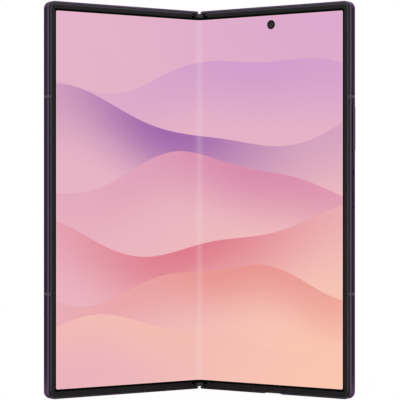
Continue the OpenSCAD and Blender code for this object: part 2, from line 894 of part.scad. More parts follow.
module battery() {
  t = cover_panel_y - fit - part_y;
  translate([battery_x + battery_w / 2, 0, battery_top_z - battery_h / 2])
    in_depth(part_y, part_y + t) round_rect(battery_w, battery_h, 1);
}

module right_battery() {
  color(battery_grey) on_right() battery();
}

// main board, above the battery, cut out round the cameras
module right_board() {
  high = room_z - 1;
  color(board_green) on_right() difference() {
    in_depth(part_y, part_y + board_t) translate([battery_x, board_low_z])
      square([rib_x - rib_t - 0.3 - battery_x, high - board_low_z]);
    rear_lenses() cube([module_w + 0.4, 2 * body_t, module_w + 0.4], center = true);
    translate([inner_cam_x, 0, inner_cam_z]) cube([7, 2 * body_t, 7], center = true);
  }
}

module shield_cans() {
  front = part_y + board_t;
  back = glass_y - coil_t - 2 * fit;
  color(steel) on_right() {
    for (i = [0, 1]) translate([battery_x + 1 + i * (can_w + can_gap), 0, can_low_z])
      shield_can(can_w, can_h);
    translate([battery_x + 1, 0, can_low_z + can_h + 2]) shield_can(upper_can_w, upper_can_h);
  }
  module shield_can(w, h) {
    difference() {
      in_depth(front, back) square([w, h]);
      in_depth(front - eps, back - 0.2) translate([0.2, 0.2]) square([w - 0.4, h - 0.4]);
    }
  }
}

// flat spiral of the charging coil, drawn as close concentric turns
module charging_coil() {
  back = glass_y - fit;
  color(brass) on_right()
    translate([battery_x + battery_w / 2, 0, battery_top_z - battery_h / 2]) difference() {
      in_depth(back - coil_t, back) coil_band(coil_in_r, coil_out_r);
      // grooves between the turns
      for (r = [coil_in_r + coil_turn:coil_turn:coil_out_r - eps])
        in_depth(back - coil_t - eps, back - coil_t / 2) coil_band(r - 0.3, r);
    }
  module coil_band(r0, r1) {
    difference() {
      circle(r1, $fn = 96);
      circle(r0, $fn = 96);
    }
  }
}

module inner_camera() {
  color(glass_black) on_right() {
    translate([inner_cam_x, 0, inner_cam_z]) {
      in_depth(part_y, glass_y - 3 * fit) round_rect(6.4, 6.4, 0.4);
      translate([0, support_y, 0]) rotate([-90, 0, 0])
        cylinder(r = 1.5, h = part_y - support_y + eps);
    }
  }
}

module inner_camera_window() {
  color("#202024") on_right() translate([inner_cam_x, display_y + 0.02, inner_cam_z])
    rotate([-90, 0, 0]) cylinder(r = inner_cam_r - 0.03, h = 0.3);
}

module rear_lenses() {
  for (i = [0:2]) translate([island_x, 0, island_z - i * lens_pitch]) children();
}

module rear_camera_modules() {
  top = body_t + island_h;
  color(glass_black) on_right() rear_lenses() {
    in_depth(part_y, glass_y - fit) round_rect(module_w, module_w, 0.6);
    translate([0, glass_y - fit - eps, 0]) rotate([-90, 0, 0]) difference() {
      cylinder(r = lens_r - 0.3, h = top - glass_y - 0.2 + fit);
      translate([0, 0, top - glass_y - 0.7]) cylinder(r = 2.4, h = 2);
    }
  }
}

module back_glass() {
  color(glass_black) on_right() difference() {
    glass_sheet();
    rear_lenses() rotate([-90, 0, 0]) cylinder(r = lens_r, h = 2 * body_t);
    camera_bore(flash_x, flash_z, flash_r + fit);
  }
}

module glass_sheet() {
  edge = back_lip_w + fit;
  in_depth(glass_y, body_t) outer_round(axis_x + 2, half_w - edge, body_h - 2 * edge,
    corner_r - edge);
}

module camera_island() {
  color(metal) on_right() difference() {
    translate([island_x, 0, island_z - lens_pitch]) {
      in_depth(body_t, body_t + island_h - 0.3)
        rotate(90) capsule(2 * (lens_pitch + island_r), 2 * island_r);
      in_depth(body_t, body_t + island_h)
        rotate(90) capsule(2 * (lens_pitch + island_r) - 0.6, 2 * island_r - 0.6);
    }
    rear_lenses() rotate([-90, 0, 0]) cylinder(r = lens_r, h = 3 * body_t);
  }
}

module lens_rings() {
  color(dark_metal) on_right() rear_lenses() translate([0, body_t + island_h, 0])
    rotate([-90, 0, 0]) rotate_extrude() polygon([
      [lens_r, 0], [lens_ring_r, 0], [lens_ring_r, lens_ring_h - 0.2],
      [lens_ring_r - 0.2, lens_ring_h], [lens_r + 0.35, lens_ring_h],
      [lens_r + 0.05, lens_ring_h - 0.3]
    ]);
}

module lens_glasses() {
  color(glass_black) on_right() rear_lenses() translate([0, body_t + island_h - 0.1, 0])
    rotate([-90, 0, 0]) cylinder(r = lens_r - 0.05, h = 0.35);
}

module flash_window() {
  color("#e8e4d0") on_right() translate([flash_x, glass_y - fit, flash_z])
    rotate([-90, 0, 0]) cylinder(r = flash_r, h = glass_t + fit);
}

module port_shell() {
  color(steel) on_right() translate([port_x, port_y, port_z]) difference() {
    linear_extrude(port_len) capsule(port_out_w, port_out_h);
    translate([0, 0, -eps]) linear_extrude(port_len + 1) capsule(port_w, port_h);
  }
}

module port_tongue() {
  back = 1.6;
  color(soft_black) on_right() translate([port_x, port_y, port_z]) {
    translate([0, 0, port_len - back]) linear_extrude(back)
      capsule(port_w - 0.04, port_h - 0.04);
    translate([-3.35, -0.35, 0.6]) cube([6.7, 0.7, port_len - back - 0.6 + eps]);
  }
}

module lower_speaker() {
  color(soft_black) on_right() difference() {
    translate([speaker_x, 0, -room_z + speaker_h / 2 + 1])
      in_depth(part_y, glass_y - fit) round_rect(speaker_w, speaker_h, 1);
    translate([speaker_x, key_y, -room_z + 0.5])
      cube([10, 1, 2.4], center = true);
  }
}

// thin strip along the frame, with one dome for each nub
module key_switch_strip() {
  low = side_key_z - side_key_len / 2;
  high = volume_z + volume_len / 2;
  color(brass) on_right() {
    block(rib_x, rib_x + strip_t, key_y - key_h / 2 - 0.2, key_y + key_h / 2 + 0.2, low, high);
    for (z = [side_key_z, volume_z - 6, volume_z + 6])
      translate([rib_x + strip_t - eps, key_y, z]) rotate([0, 90, 0])
        cylinder(r1 = 0.85, r2 = 0.4, h = switch_t + eps);
  }
}

// a key: its cap, its neck through the frame, and a flange that keeps it in
module key_body(len, proud, nubs) {
  translate([flange_x, key_y, 0]) rotate([90, 0, 90]) {
    linear_extrude(half_w + proud - 0.15 - flange_x) rotate(90) capsule(len, key_h);
    translate([0, 0, half_w + proud - 0.15 - flange_x]) linear_extrude(0.15)
      rotate(90) capsule(len - 0.3, key_h - 0.3);
    translate([0, 0, -flange_t]) linear_extrude(flange_t + eps)
      rotate(90) round_rect(len + 1.4, key_h, 0.4);
    for (z = nubs) translate([0, z, -flange_t - 0.25])
      cylinder(r = 0.5, h = 0.3, $fn = 24);
  }
}

module volume_key() {
  color(metal) on_right() translate([0, 0, volume_z])
    key_body(volume_len, volume_proud, [-6, 6]);
}

module side_key() {
  color(metal) on_right() translate([0, 0, side_key_z]) key_body(side_key_len, 0, [0]);
}

// ---- left half ----------------------------------------------------------

module left_frame() {
  color(metal) on_left() difference() {
    half_frame(left_groove_z);
    // card tray's slot in the top edge
    block(tray_x - tray_w / 2 - key_gap, tray_x + tray_w / 2 + key_gap,
      tray_y - tray_cap_h / 2 - key_gap, tray_y + tray_cap_h / 2 + key_gap,
      body_h / 2 - rail_w - 1, body_h / 2 + 1);
    for (i = [-2:2]) translate([earpiece_x + i * sound_pitch, key_y, 0]) sound_hole(1);
    translate([earpiece_x, key_y, 0]) sound_hole(-1);
  }
}

module left_antenna_breaks() {
  color(dark_metal) on_left() antenna_breaks();
}

module left_rim() {
  color(soft_black) on_left() half_rim();
}

module display_left() {
  color("#d8a8c8") on_left() half_display();
}

module left_support_plate() {
  color(steel) on_left() half_support();
}

module left_wing_plate() {
  color(steel) on_left() half_wing();
}

module left_rotators() {
  color(steel) on_left() rotor_places(left_groove_z) rotor();
}

module left_rotator_screws() {
  color(dark_metal) on_left() rotor_screws(left_groove_z);
}

module left_battery() {
  color(battery_grey) on_left() battery();
}

module left_board() {
  color(board_green) on_left() in_depth(part_y, part_y + board_t)
    translate([battery_x, board_low_z]) square([battery_w + 0.5, left_board_h]);
}

module cover_panel() {
  edge = 3;
  color(soft_black) on_left() difference() {
    in_depth(cover_panel_y, glass_y) outer_round(hinge_wall_x + 1, half_w - edge,
      body_h - 2 * edge, 1);
    camera_bore(half_w / 2, cover_cam_z, cover_cam_r + fit);
  }
}

module cover_glass() {
  color(glass_black) on_left() difference() {
    glass_sheet();
    translate([half_w / 2, glass_y - eps, cover_cam_z]) rotate([-90, 0, 0])
      cylinder(r = cover_cam_r, h = glass_t / 2);
  }
}

module cover_camera() {
  color(glass_black) on_left() translate([half_w / 2, 0, cover_cam_z]) {
    in_depth(part_y, cover_panel_y - fit) round_rect(6, 6, 0.4);
    translate([0, cover_panel_y - fit - eps, 0]) rotate([-90, 0, 0])
      cylinder(r = cover_cam_r - fit, h = glass_y + glass_t / 2 - cover_panel_y);
  }
}

module earpiece() {
  color(soft_black) on_left() difference() {
    translate([earpiece_x, 0, room_z - 6]) in_depth(part_y, cover_panel_y - fit)
      round_rect(13, 11, 1);
    translate([earpiece_x, key_y, room_z - 0.5]) cube([9.6, 1, 2.4], center = true);
  }
}

// flat coin motor with its cap
module vibration_motor() {
  color(steel) on_left() translate([motor_x, part_y, motor_z]) {
    rotate([-90, 0, 0]) cylinder(r = motor_r, h = cover_panel_y - fit - part_y);
    translate([-3, 0, motor_r - 1]) cube([6, 0.4, 2.6]);
  }
}

// open-ended shell that the tray slides into
module card_reader() {
  color(steel) on_left() translate([tray_x, tray_y, 0]) difference() {
    along_z(room_z - tray_len - 1.2, room_z - 0.3)
      square([tray_w + 0.6, tray_t + 0.3 + 2 * reader_wall], center = true);
    along_z(room_z - tray_len - 1.2 + reader_wall, room_z)
      square([tray_w + 0.6 - 2 * reader_wall, tray_t + 0.3], center = true);
  }
}

module card_tray() {
  plate_w = tray_w - 0.5;
  floor_t = tray_t - card_t;
  color(metal) on_left() translate([tray_x, tray_y, 0]) difference() {
    union() {
      along_z(room_z + fit, body_h / 2 - edge_bevel)
        square([tray_w, tray_cap_h], center = true);
      along_z(body_h / 2 - edge_bevel - eps, body_h / 2)
        square([tray_w - 0.4, tray_cap_h - 0.4], center = true);
      block(-plate_w / 2, plate_w / 2, -tray_t / 2, tray_t / 2, room_z - tray_len,
        room_z + 2 * fit);
    }
    // recess for the card, with a window through its floor
    block(-card_w / 2 - fit, card_w / 2 + fit, -tray_t, tray_t / 2 - floor_t,
      room_z - 3 - card_len - 2 * fit, room_z - 3);
    block(-card_w / 2 + 0.8, card_w / 2 - 0.8, -tray_t, tray_t,
      room_z - 2.2 - card_len, room_z - 3.8);
    // hole for the release pin
    translate([tray_w / 2 - 1.2, 0, room_z + 0.6]) cylinder(r = 0.4, h = 5, $fn = 24);
  }
}

// the card, with one corner cut off
module card() {
  x = card_w / 2;
  low = room_z - 3 - card_len - fit;
  color(brass) on_left() translate([tray_x, tray_y, 0])
    in_depth(-tray_t / 2, -tray_t / 2 + card_t) polygon([
      [-x, low], [x, low], [x, low + card_len - 1.6], [x - 1.6, low + card_len],
      [-x, low + card_len]
    ]);
}

// ---- synchronised arms and gears ----------------------------------------

// arm with its knuckle and gear, drawn flat round its own pin
module sync_arm(start) {
  difference() {
    union() {
      along_z(gear_z, knuckle_z + eps) gear_section(start);
      along_z(knuckle_z, knuckle_z + knuckle_len) circle(knuckle_r);
      block(0, arm_reach - arm_t / 2, -arm_drop, -arm_drop + arm_t, knuckle_z,
        knuckle_z + arm_w);
      translate([arm_reach - arm_t / 2, -arm_drop + arm_t / 2, knuckle_z])
        cylinder(r = arm_t / 2, h = arm_w);
    }
    along_z(gear_z - 1, disc_z) circle(arm_pin_r + pin_gap);
  }
}

module right_sync_arms() {
  color(steel) on_spine() at_modules() translate([gear_x, gear_y, 0])
    rotate([0, 0, -turn]) sync_arm(turn);
}

module left_sync_arms() {
  color(steel) on_spine() at_modules() translate([-gear_x, gear_y, 0])
    rotate([0, 0, turn]) mirror([1, 0, 0]) sync_arm(turn + 180 / gear_teeth);
}

module idler_gear(start) {
  difference() {
    along_z(gear_z, gear_z + gear_len) gear_section(start);
    along_z(gear_z - 1, gear_z + gear_len + 1) circle(idler_pin_r + pin_gap);
  }
}

module right_idler_gears() {
  color(brass) on_spine() at_modules() translate([gear_r, gear_y, 0])
    idler_gear(180 / gear_teeth);
}

module left_idler_gears() {
  color(brass) on_spine() at_modules() translate([-gear_r, gear_y, 0]) idler_gear(0);
}

// ---- ribbon cable across the fold ---------------------------------------

module ribbon_slot() {
  block(axis_x, hinge_wall_x + 2, ribbon_y - 0.35, ribbon_y + 0.5,
    ribbon_z - ribbon_w / 2 - 0.5, ribbon_z + ribbon_w / 2 + 0.5);
}

// right half's turn, as a point of the section
function turned(x, y) = [
  axis_x + (x - axis_x) * cos(turn) + (y - axis_y) * sin(turn),
  axis_y - (x - axis_x) * sin(turn) + (y - axis_y) * cos(turn)
];

module ribbon_piece(p, q) {
  d = q - p;
  translate(p) rotate(atan2(d[1], d[0])) translate([0, -ribbon_t / 2])
    square([norm(d), ribbon_t]);
  for (end = [p, q]) translate(end) circle(ribbon_t / 2, $fn = 16);
}

module fold_ribbon_cable() {
  route = [[0, ribbon_dip_y], [1.2, ribbon_dip_y], turned(3.2, ribbon_y),
    turned(ribbon_end_x, ribbon_y)];
  color(brass) on_spine() along_z(ribbon_z - ribbon_w / 2, ribbon_z + ribbon_w / 2)
    for (s = [0, 1]) mirror([s, 0]) for (i = [0:len(route) - 2])
      ribbon_piece(route[i], route[i + 1]);
}

spine_cover();
hinge_bracket_upper();
hinge_bracket_lower();
hinge_pins();
disc_springs();
bracket_screws();
fold_cap_top();
fold_cap_bottom();
display_fold();
fold_ribbon_cable();
right_frame();
right_antenna_breaks();
right_rim();
display_right();
right_support_plate();
right_wing_plate();
right_rotators();
right_rotator_screws();
right_battery();
right_board();
shield_cans();
charging_coil();
inner_camera();
inner_camera_window();
rear_camera_modules();
back_glass();
camera_island();
lens_rings();
lens_glasses();
flash_window();
port_shell();
port_tongue();
lower_speaker();
key_switch_strip();
left_frame();
left_antenna_breaks();
left_rim();
display_left();
left_support_plate();
left_wing_plate();
left_rotators();
left_rotator_screws();
left_battery();
left_board();
cover_panel();
cover_glass();
cover_camera();
earpiece();
vibration_motor();
card_reader();
volume_key();
side_key();
card_tray();
card();
right_sync_arms();
left_sync_arms();
right_idler_gears();
left_idler_gears();
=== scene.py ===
import json
import math

import bmesh
import bpy
from mathutils import Matrix, Vector


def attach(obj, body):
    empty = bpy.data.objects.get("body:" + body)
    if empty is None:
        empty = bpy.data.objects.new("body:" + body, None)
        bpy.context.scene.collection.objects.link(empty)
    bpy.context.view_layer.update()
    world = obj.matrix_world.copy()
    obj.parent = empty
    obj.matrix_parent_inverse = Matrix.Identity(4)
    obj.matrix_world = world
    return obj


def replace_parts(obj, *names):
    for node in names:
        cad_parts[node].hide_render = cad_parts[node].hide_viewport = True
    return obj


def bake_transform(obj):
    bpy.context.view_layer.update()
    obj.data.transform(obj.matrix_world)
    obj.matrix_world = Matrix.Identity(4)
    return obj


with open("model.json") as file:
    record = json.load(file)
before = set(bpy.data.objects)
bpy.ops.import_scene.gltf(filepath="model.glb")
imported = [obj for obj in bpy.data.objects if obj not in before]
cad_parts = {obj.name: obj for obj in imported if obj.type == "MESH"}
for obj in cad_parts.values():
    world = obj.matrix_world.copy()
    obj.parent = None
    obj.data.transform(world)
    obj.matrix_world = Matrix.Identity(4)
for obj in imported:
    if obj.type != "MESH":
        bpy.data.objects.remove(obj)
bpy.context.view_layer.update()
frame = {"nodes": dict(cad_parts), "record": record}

nodes = frame["nodes"]

# sizes that the solids also use, in millimetres; turn is how far each half stands from flat
phone = {
    "height": 158.4, "halfWidth": 71.6, "thickness": 4.2, "corner": 3.0,
    "turn": math.radians(33.05), "axisX": 0.75, "axisY": 0.5, "axisRow": 17.815034,
    "displayY": 0.25, "stripX": 2.65, "stripThick": 0.65, "panelHeight": 152.9,
    "activeX": 68.0, "activeZ": 75.38, "activeCorner": 0.6,
}
topZ = phone["height"] / 2
toMetres = (0.001, 0.001, 0.001)
toMillimetres = (1000, 1000, 1000)


# a point of a half drawn flat, as a point of the standing phone in metres
def rowPoint(x, y, z, side=1):
    c, s = math.cos(phone["turn"]), math.sin(phone["turn"])
    dx, dy = x - phone["axisX"], y - phone["axisY"]
    return Vector((side * (phone["axisX"] + dx * c + dy * s),
                   phone["axisRow"] - dx * s + dy * c, z + topZ)) / 1000


# matrix that puts a shape drawn along +Z onto a half, pointing out of its back
def halfFrame(x, y, z, side=1):
    out = (rowPoint(x, y + 1, z, side) - rowPoint(x, y, z, side)).normalized()
    up = Vector((0, 0, 1))
    turn = Matrix((up.cross(out), up, out)).transposed().to_4x4()
    return Matrix.Translation(rowPoint(x, y, z, side)) @ turn


# the photo's own view; place and clip in metres, lens and sensor in millimetres
photoCamera = {"place": (0, -0.6793, 0.0792), "lens": 149.4, "sensor": 36, "shiftX": 0.00145,
               "shiftY": 0.0, "clip": (0.01, 50)}


def addCamera():
    data = bpy.data.cameras.new("photoCamera")
    data.lens, data.sensor_width = photoCamera["lens"], photoCamera["sensor"]
    data.shift_x, data.shift_y = photoCamera["shiftX"], photoCamera["shiftY"]
    data.clip_start, data.clip_end = photoCamera["clip"]
    camera = bpy.data.objects.new("photoCamera", data)
    camera.location = photoCamera["place"]
    camera.rotation_euler = (math.radians(90), 0, 0)
    bpy.context.collection.objects.link(camera)
    bpy.context.scene.camera = camera


addCamera()
bpy.context.scene.view_settings.view_transform = "Standard"
print("camera placed")


# sets a node's sockets by name, and its other properties where no socket has that name
def setting(node, **values):
    for key, value in values.items():
        if key in node.inputs:
            node.inputs[key].default_value = value
        else:
            setattr(node, key, value)
    return node


# links a socket, or writes down a plain value
def feed(tree, value, socket):
    if isinstance(value, bpy.types.NodeSocket):
        tree.links.new(value, socket)
    else:
        socket.default_value = value


# one step of arithmetic in a material
def calc(tree, operation, *values):
    node = tree.nodes.new("ShaderNodeMath")
    node.operation = operation
    for value, socket in zip(values, node.inputs):
        feed(tree, value, socket)
    return node.outputs[0]


# goes from toLow to toHigh while the value goes from low to high
def between(tree, value, low, high, toLow=0.0, toHigh=1.0, smooth=True):
    node = tree.nodes.new("ShaderNodeMapRange")
    node.interpolation_type = "SMOOTHSTEP" if smooth else "LINEAR"
    for number, socket in zip((value, low, high, toLow, toHigh), node.inputs):
        feed(tree, number, socket)
    return node.outputs[0]


# one colour over another by a factor, mixed or multiplied
def blendColour(tree, factor, first, second, how="MIX"):
    node = tree.nodes.new("ShaderNodeMix")
    node.data_type, node.blend_type = "RGBA", how
    feed(tree, factor, node.inputs[0])
    feed(tree, first, node.inputs[6])
    feed(tree, second, node.inputs[7])
    return node.outputs[2]


# a colour given as 0 to 255, as Blender's own linear numbers
def shade(red, green, blue):
    linear = [c / 12.92 if c <= 0.04045 else ((c + 0.055) / 1.055) ** 2.4
              for c in (red / 255, green / 255, blue / 255)]
    return (*linear, 1)


# lengths in metres; flagSide and flagBehind are ranges of a direction's x and y
studio = {
    "fill": 0.62, "flagLevel": 0.17, "flagSide": (0.74, 0.85), "flagBehind": (-0.1, 0.16),
    "lamps": {
        "keyLamp": {"place": (-0.55, -0.75, 0.95), "size": 0.7, "watts": 7.5},
        "sideLamp": {"place": (0.85, -0.45, 0.35), "size": 0.5, "watts": 3.0},
        "topLamp": {"place": (0.0, 0.25, 1.0), "size": 0.6, "watts": 4.0},
        "backLamp": {"place": (0.2, 0.95, 0.5), "size": 0.7, "watts": 4.0},
    },
    "aim": (0, 0, 0.08),
    "floorSize": 80.0, "floorShadow": 0.04, "shadowFade": (0.15, 0.5), "shadeReach": 0.03,
    "floorColour": (0.85, 0.85, 0.85, 1), "floorRoughness": 0.9,
}


# how bright the surroundings look in the gloss, towards a direction (x, y)
def flagged(tree, x, y):
    flag = calc(tree, "MULTIPLY", between(tree, calc(tree, "ABSOLUTE", x), *studio["flagSide"]),
                between(tree, y, *studio["flagBehind"]))
    return between(tree, flag, 0, 1, 1, studio["flagLevel"], smooth=False)


# world and lamps: white to the camera, softer as a light, with dark flags in the gloss
def addStudio():
    world = bpy.data.worlds.new("studioWorld")
    bpy.context.scene.world = world
    world.use_nodes = True
    tree = world.node_tree
    tree.nodes.clear()
    path = tree.nodes.new("ShaderNodeLightPath")
    seen = calc(tree, "MAXIMUM", path.outputs["Is Camera Ray"],
                path.outputs["Is Transmission Ray"])
    # dark flags stand to both sides, a little behind the phone, and show only in its gloss
    side = tree.nodes.new("ShaderNodeSeparateXYZ")
    tree.links.new(tree.nodes.new("ShaderNodeTexCoord").outputs["Generated"], side.inputs[0])
    gloss = calc(tree, "MULTIPLY", path.outputs["Is Glossy Ray"],
                 flagged(tree, side.outputs[0], side.outputs[1]))
    shown = calc(tree, "MAXIMUM", seen, path.outputs["Is Glossy Ray"])
    plain = calc(tree, "MULTIPLY", studio["fill"], calc(tree, "SUBTRACT", 1, shown))
    back = tree.nodes.new("ShaderNodeBackground")
    back.inputs["Color"].default_value = (1, 1, 1, 1)
    feed(tree, calc(tree, "ADD", plain, calc(tree, "MAXIMUM", seen, gloss)),
         back.inputs["Strength"])
    out = tree.nodes.new("ShaderNodeOutputWorld")
    tree.links.new(back.outputs[0], out.inputs[0])
    for name, lamp in studio["lamps"].items():
        data = bpy.data.lights.new(name, "AREA")
        data.energy, data.size = lamp["watts"], lamp["size"]
        light = bpy.data.objects.new(name, data)
        light.visible_glossy = False
        light.location = lamp["place"]
        aim = Vector(studio["aim"]) - Vector(lamp["place"])
        light.rotation_euler = aim.to_track_quat("-Z", "Y").to_euler()
        bpy.context.collection.objects.link(light)


# pale floor, plain white to the camera but for a faint shadow round the phone
def addFloor():
    bm = bmesh.new()
    bmesh.ops.create_grid(bm, x_segments=1, y_segments=1, size=studio["floorSize"] / 2)
    mesh = bpy.data.meshes.new("studioFloor")
    bm.to_mesh(mesh)
    bm.free()
    floor = bpy.data.objects.new("studioFloor", mesh)
    bpy.context.collection.objects.link(floor)
    material = bpy.data.materials.new("paleFloor")
    material.use_nodes = True
    tree = material.node_tree
    surface = setting(tree.nodes["Principled BSDF"], Roughness=studio["floorRoughness"])
    surface.inputs["Base Color"].default_value = studio["floorColour"]
    path = tree.nodes.new("ShaderNodeLightPath")
    contactShade = setting(tree.nodes.new("ShaderNodeAmbientOcclusion"), samples=8,
                       Distance=studio["shadeReach"])
    # seen in the phone's gloss the floor carries the flags on, by its direction from the middle
    spot = tree.nodes.new("ShaderNodeVectorMath")
    spot.operation = "NORMALIZE"
    tree.links.new(tree.nodes.new("ShaderNodeTexCoord").outputs["Object"], spot.inputs[0])
    side = tree.nodes.new("ShaderNodeSeparateXYZ")
    tree.links.new(spot.outputs[0], side.inputs[0])
    # in the gloss the floor's glow darkens where the phone shuts out the surroundings: a painted
    # contact shadow
    mirrored = calc(tree, "MULTIPLY", calc(tree, "POWER", contactShade.outputs["AO"], 2),
                    flagged(tree, side.outputs[0], side.outputs[1]))
    seen = calc(tree, "MAXIMUM", path.outputs["Is Camera Ray"],
                path.outputs["Is Transmission Ray"])
    # a faint shadow shows around the phone and fades to plain white further out
    far = tree.nodes.new("ShaderNodeVectorMath")
    far.operation = "LENGTH"
    tree.links.new(tree.nodes.new("ShaderNodeTexCoord").outputs["Object"], far.inputs[0])
    white = between(tree, far.outputs["Value"], *studio["shadowFade"],
                    1 - studio["floorShadow"], 1)
    glow = tree.nodes.new("ShaderNodeEmission")
    glow.inputs["Color"].default_value = (1, 1, 1, 1)
    feed(tree, calc(tree, "MAXIMUM", seen, mirrored), glow.inputs["Strength"])
    mix = tree.nodes.new("ShaderNodeMixShader")
    feed(tree, calc(tree, "MAXIMUM", calc(tree, "MULTIPLY", seen, white),
                    path.outputs["Is Glossy Ray"]), mix.inputs[0])
    tree.links.new(surface.outputs[0], mix.inputs[1])
    tree.links.new(glow.outputs[0], mix.inputs[2])
    tree.links.new(mix.outputs[0], tree.nodes["Material Output"].inputs[0])
    mesh.materials.append(material)


addStudio()
addFloor()
print("studio lit")

# colours 0 to 255; grain and cloud are pattern scales, depth is the bump's strength, mottle how
# far light and dark part, stretch the grain's direction
finishes = {
    "frameMetal": {"colour": (88, 75, 93), "metallic": 1.0, "roughness": 0.3, "grain": 9000,
                   "rimTint": (0.65, 0.5, 0.7), "depth": 0.03, "mottle": 0.05, "cloud": 60,
                   "stretch": (1, 1, 1)},
    "ringMetal": {"colour": (74, 68, 76), "metallic": 1.0, "roughness": 0.22, "grain": 4000,
                  "depth": 0.03, "mottle": 0.08, "cloud": 140, "stretch": (1, 1, 1)},
    "antennaPlastic": {"colour": (58, 49, 60), "metallic": 0.0, "roughness": 0.5, "grain": 6000,
                       "depth": 0.08, "mottle": 0.12, "cloud": 200, "stretch": (1, 1, 1)},
    "rimPlastic": {"colour": (24, 24, 25), "metallic": 0.0, "roughness": 0.46, "shine": 0.12,
                   "grain": 7000, "depth": 0.15, "mottle": 0.14, "cloud": 90,
                   "stretch": (1, 1, 1)},
    "capRubber": {"colour": (22, 22, 23), "metallic": 0.0, "roughness": 0.55, "shine": 0.15,
                  "grain": 6500, "depth": 0.2, "mottle": 0.14, "cloud": 260,
                  "stretch": (1, 1, 1)},
    "rolledSteel": {"colour": (186, 187, 190), "metallic": 1.0, "roughness": 0.34, "grain": 900,
                    "depth": 0.06, "mottle": 0.10, "cloud": 120, "stretch": (1, 1, 0.03)},
    "machinedSteel": {"colour": (176, 178, 182), "metallic": 1.0, "roughness": 0.28,
                      "grain": 2200, "depth": 0.08, "mottle": 0.12, "cloud": 300,
                      "stretch": (0.08, 1, 1)},
    "groundSteel": {"colour": (196, 198, 202), "metallic": 1.0, "roughness": 0.16,
                    "grain": 5000, "depth": 0.04, "mottle": 0.08, "cloud": 400,
                    "stretch": (1, 1, 0.1)},
    "blackScrew": {"colour": (52, 51, 55), "metallic": 0.9, "roughness": 0.42, "grain": 4200,
                   "depth": 0.08, "mottle": 0.15, "cloud": 500, "stretch": (1, 1, 1)},
    "gearBrass": {"colour": (206, 170, 104), "metallic": 1.0, "roughness": 0.26, "grain": 3600,
                  "depth": 0.06, "mottle": 0.14, "cloud": 500, "stretch": (1, 1, 0.2)},
    "batteryFoil": {"colour": (78, 80, 86), "metallic": 0.35, "roughness": 0.42, "grain": 1400,
                    "depth": 0.22, "mottle": 0.16, "cloud": 45, "stretch": (1, 1, 1)},
    "boardMask": {"colour": (30, 74, 52), "metallic": 0.0, "roughness": 0.36, "grain": 1800,
                  "depth": 0.25, "mottle": 0.35, "cloud": 420, "stretch": (1, 1, 1)},
    "canSteel": {"colour": (188, 190, 194), "metallic": 1.0, "roughness": 0.3, "grain": 2600,
                 "depth": 0.06, "mottle": 0.10, "cloud": 160, "stretch": (1, 1, 1)},
    "coilCopper": {"colour": (196, 118, 74), "metallic": 0.9, "roughness": 0.3, "grain": 3400,
                   "depth": 0.12, "mottle": 0.18, "cloud": 240, "stretch": (1, 1, 1)},
    "ribbonFilm": {"colour": (168, 104, 44), "metallic": 0.1, "roughness": 0.28, "grain": 2400,
                   "depth": 0.08, "mottle": 0.20, "cloud": 300, "stretch": (0.05, 0.05, 1)},
    "cameraBlack": {"colour": (22, 22, 25), "metallic": 0.0, "roughness": 0.5, "grain": 5200,
                    "depth": 0.15, "mottle": 0.20, "cloud": 300, "stretch": (1, 1, 1)},
    "satinBack": {"colour": (46, 40, 49), "metallic": 0.0, "roughness": 0.34, "grain": 5200,
                  "depth": 0.05, "mottle": 0.10, "cloud": 30, "stretch": (1, 1, 1)},
    "contactGold": {"colour": (222, 186, 112), "metallic": 1.0, "roughness": 0.2,
                    "grain": 5000, "depth": 0.05, "mottle": 0.10, "cloud": 600,
                    "stretch": (1, 1, 1)},
    "blackPlastic": {"colour": (26, 26, 28), "metallic": 0.0, "roughness": 0.52, "grain": 4200,
                     "depth": 0.2, "mottle": 0.18, "cloud": 220, "stretch": (1, 1, 1)},
    "cardPlastic": {"colour": (214, 206, 176), "metallic": 0.0, "roughness": 0.36,
                    "grain": 3000, "depth": 0.06, "mottle": 0.08, "cloud": 260,
                    "stretch": (1, 1, 1)},
}
# how the noise patterns are used: the middle range that they fill, and what they change
pattern = {"range": (0.3, 0.7), "cloudShare": 0.6, "grainShare": 0.4, "glossRange": (0.25, 0.75),
           "glossDown": 0.05, "glossUp": 0.06, "grainHeight": 0.00005}
made = {}


# a noise pattern's place between dark and light, as a factor
def noiseFactor(tree, noise):
    return between(tree, noise, *pattern["range"])


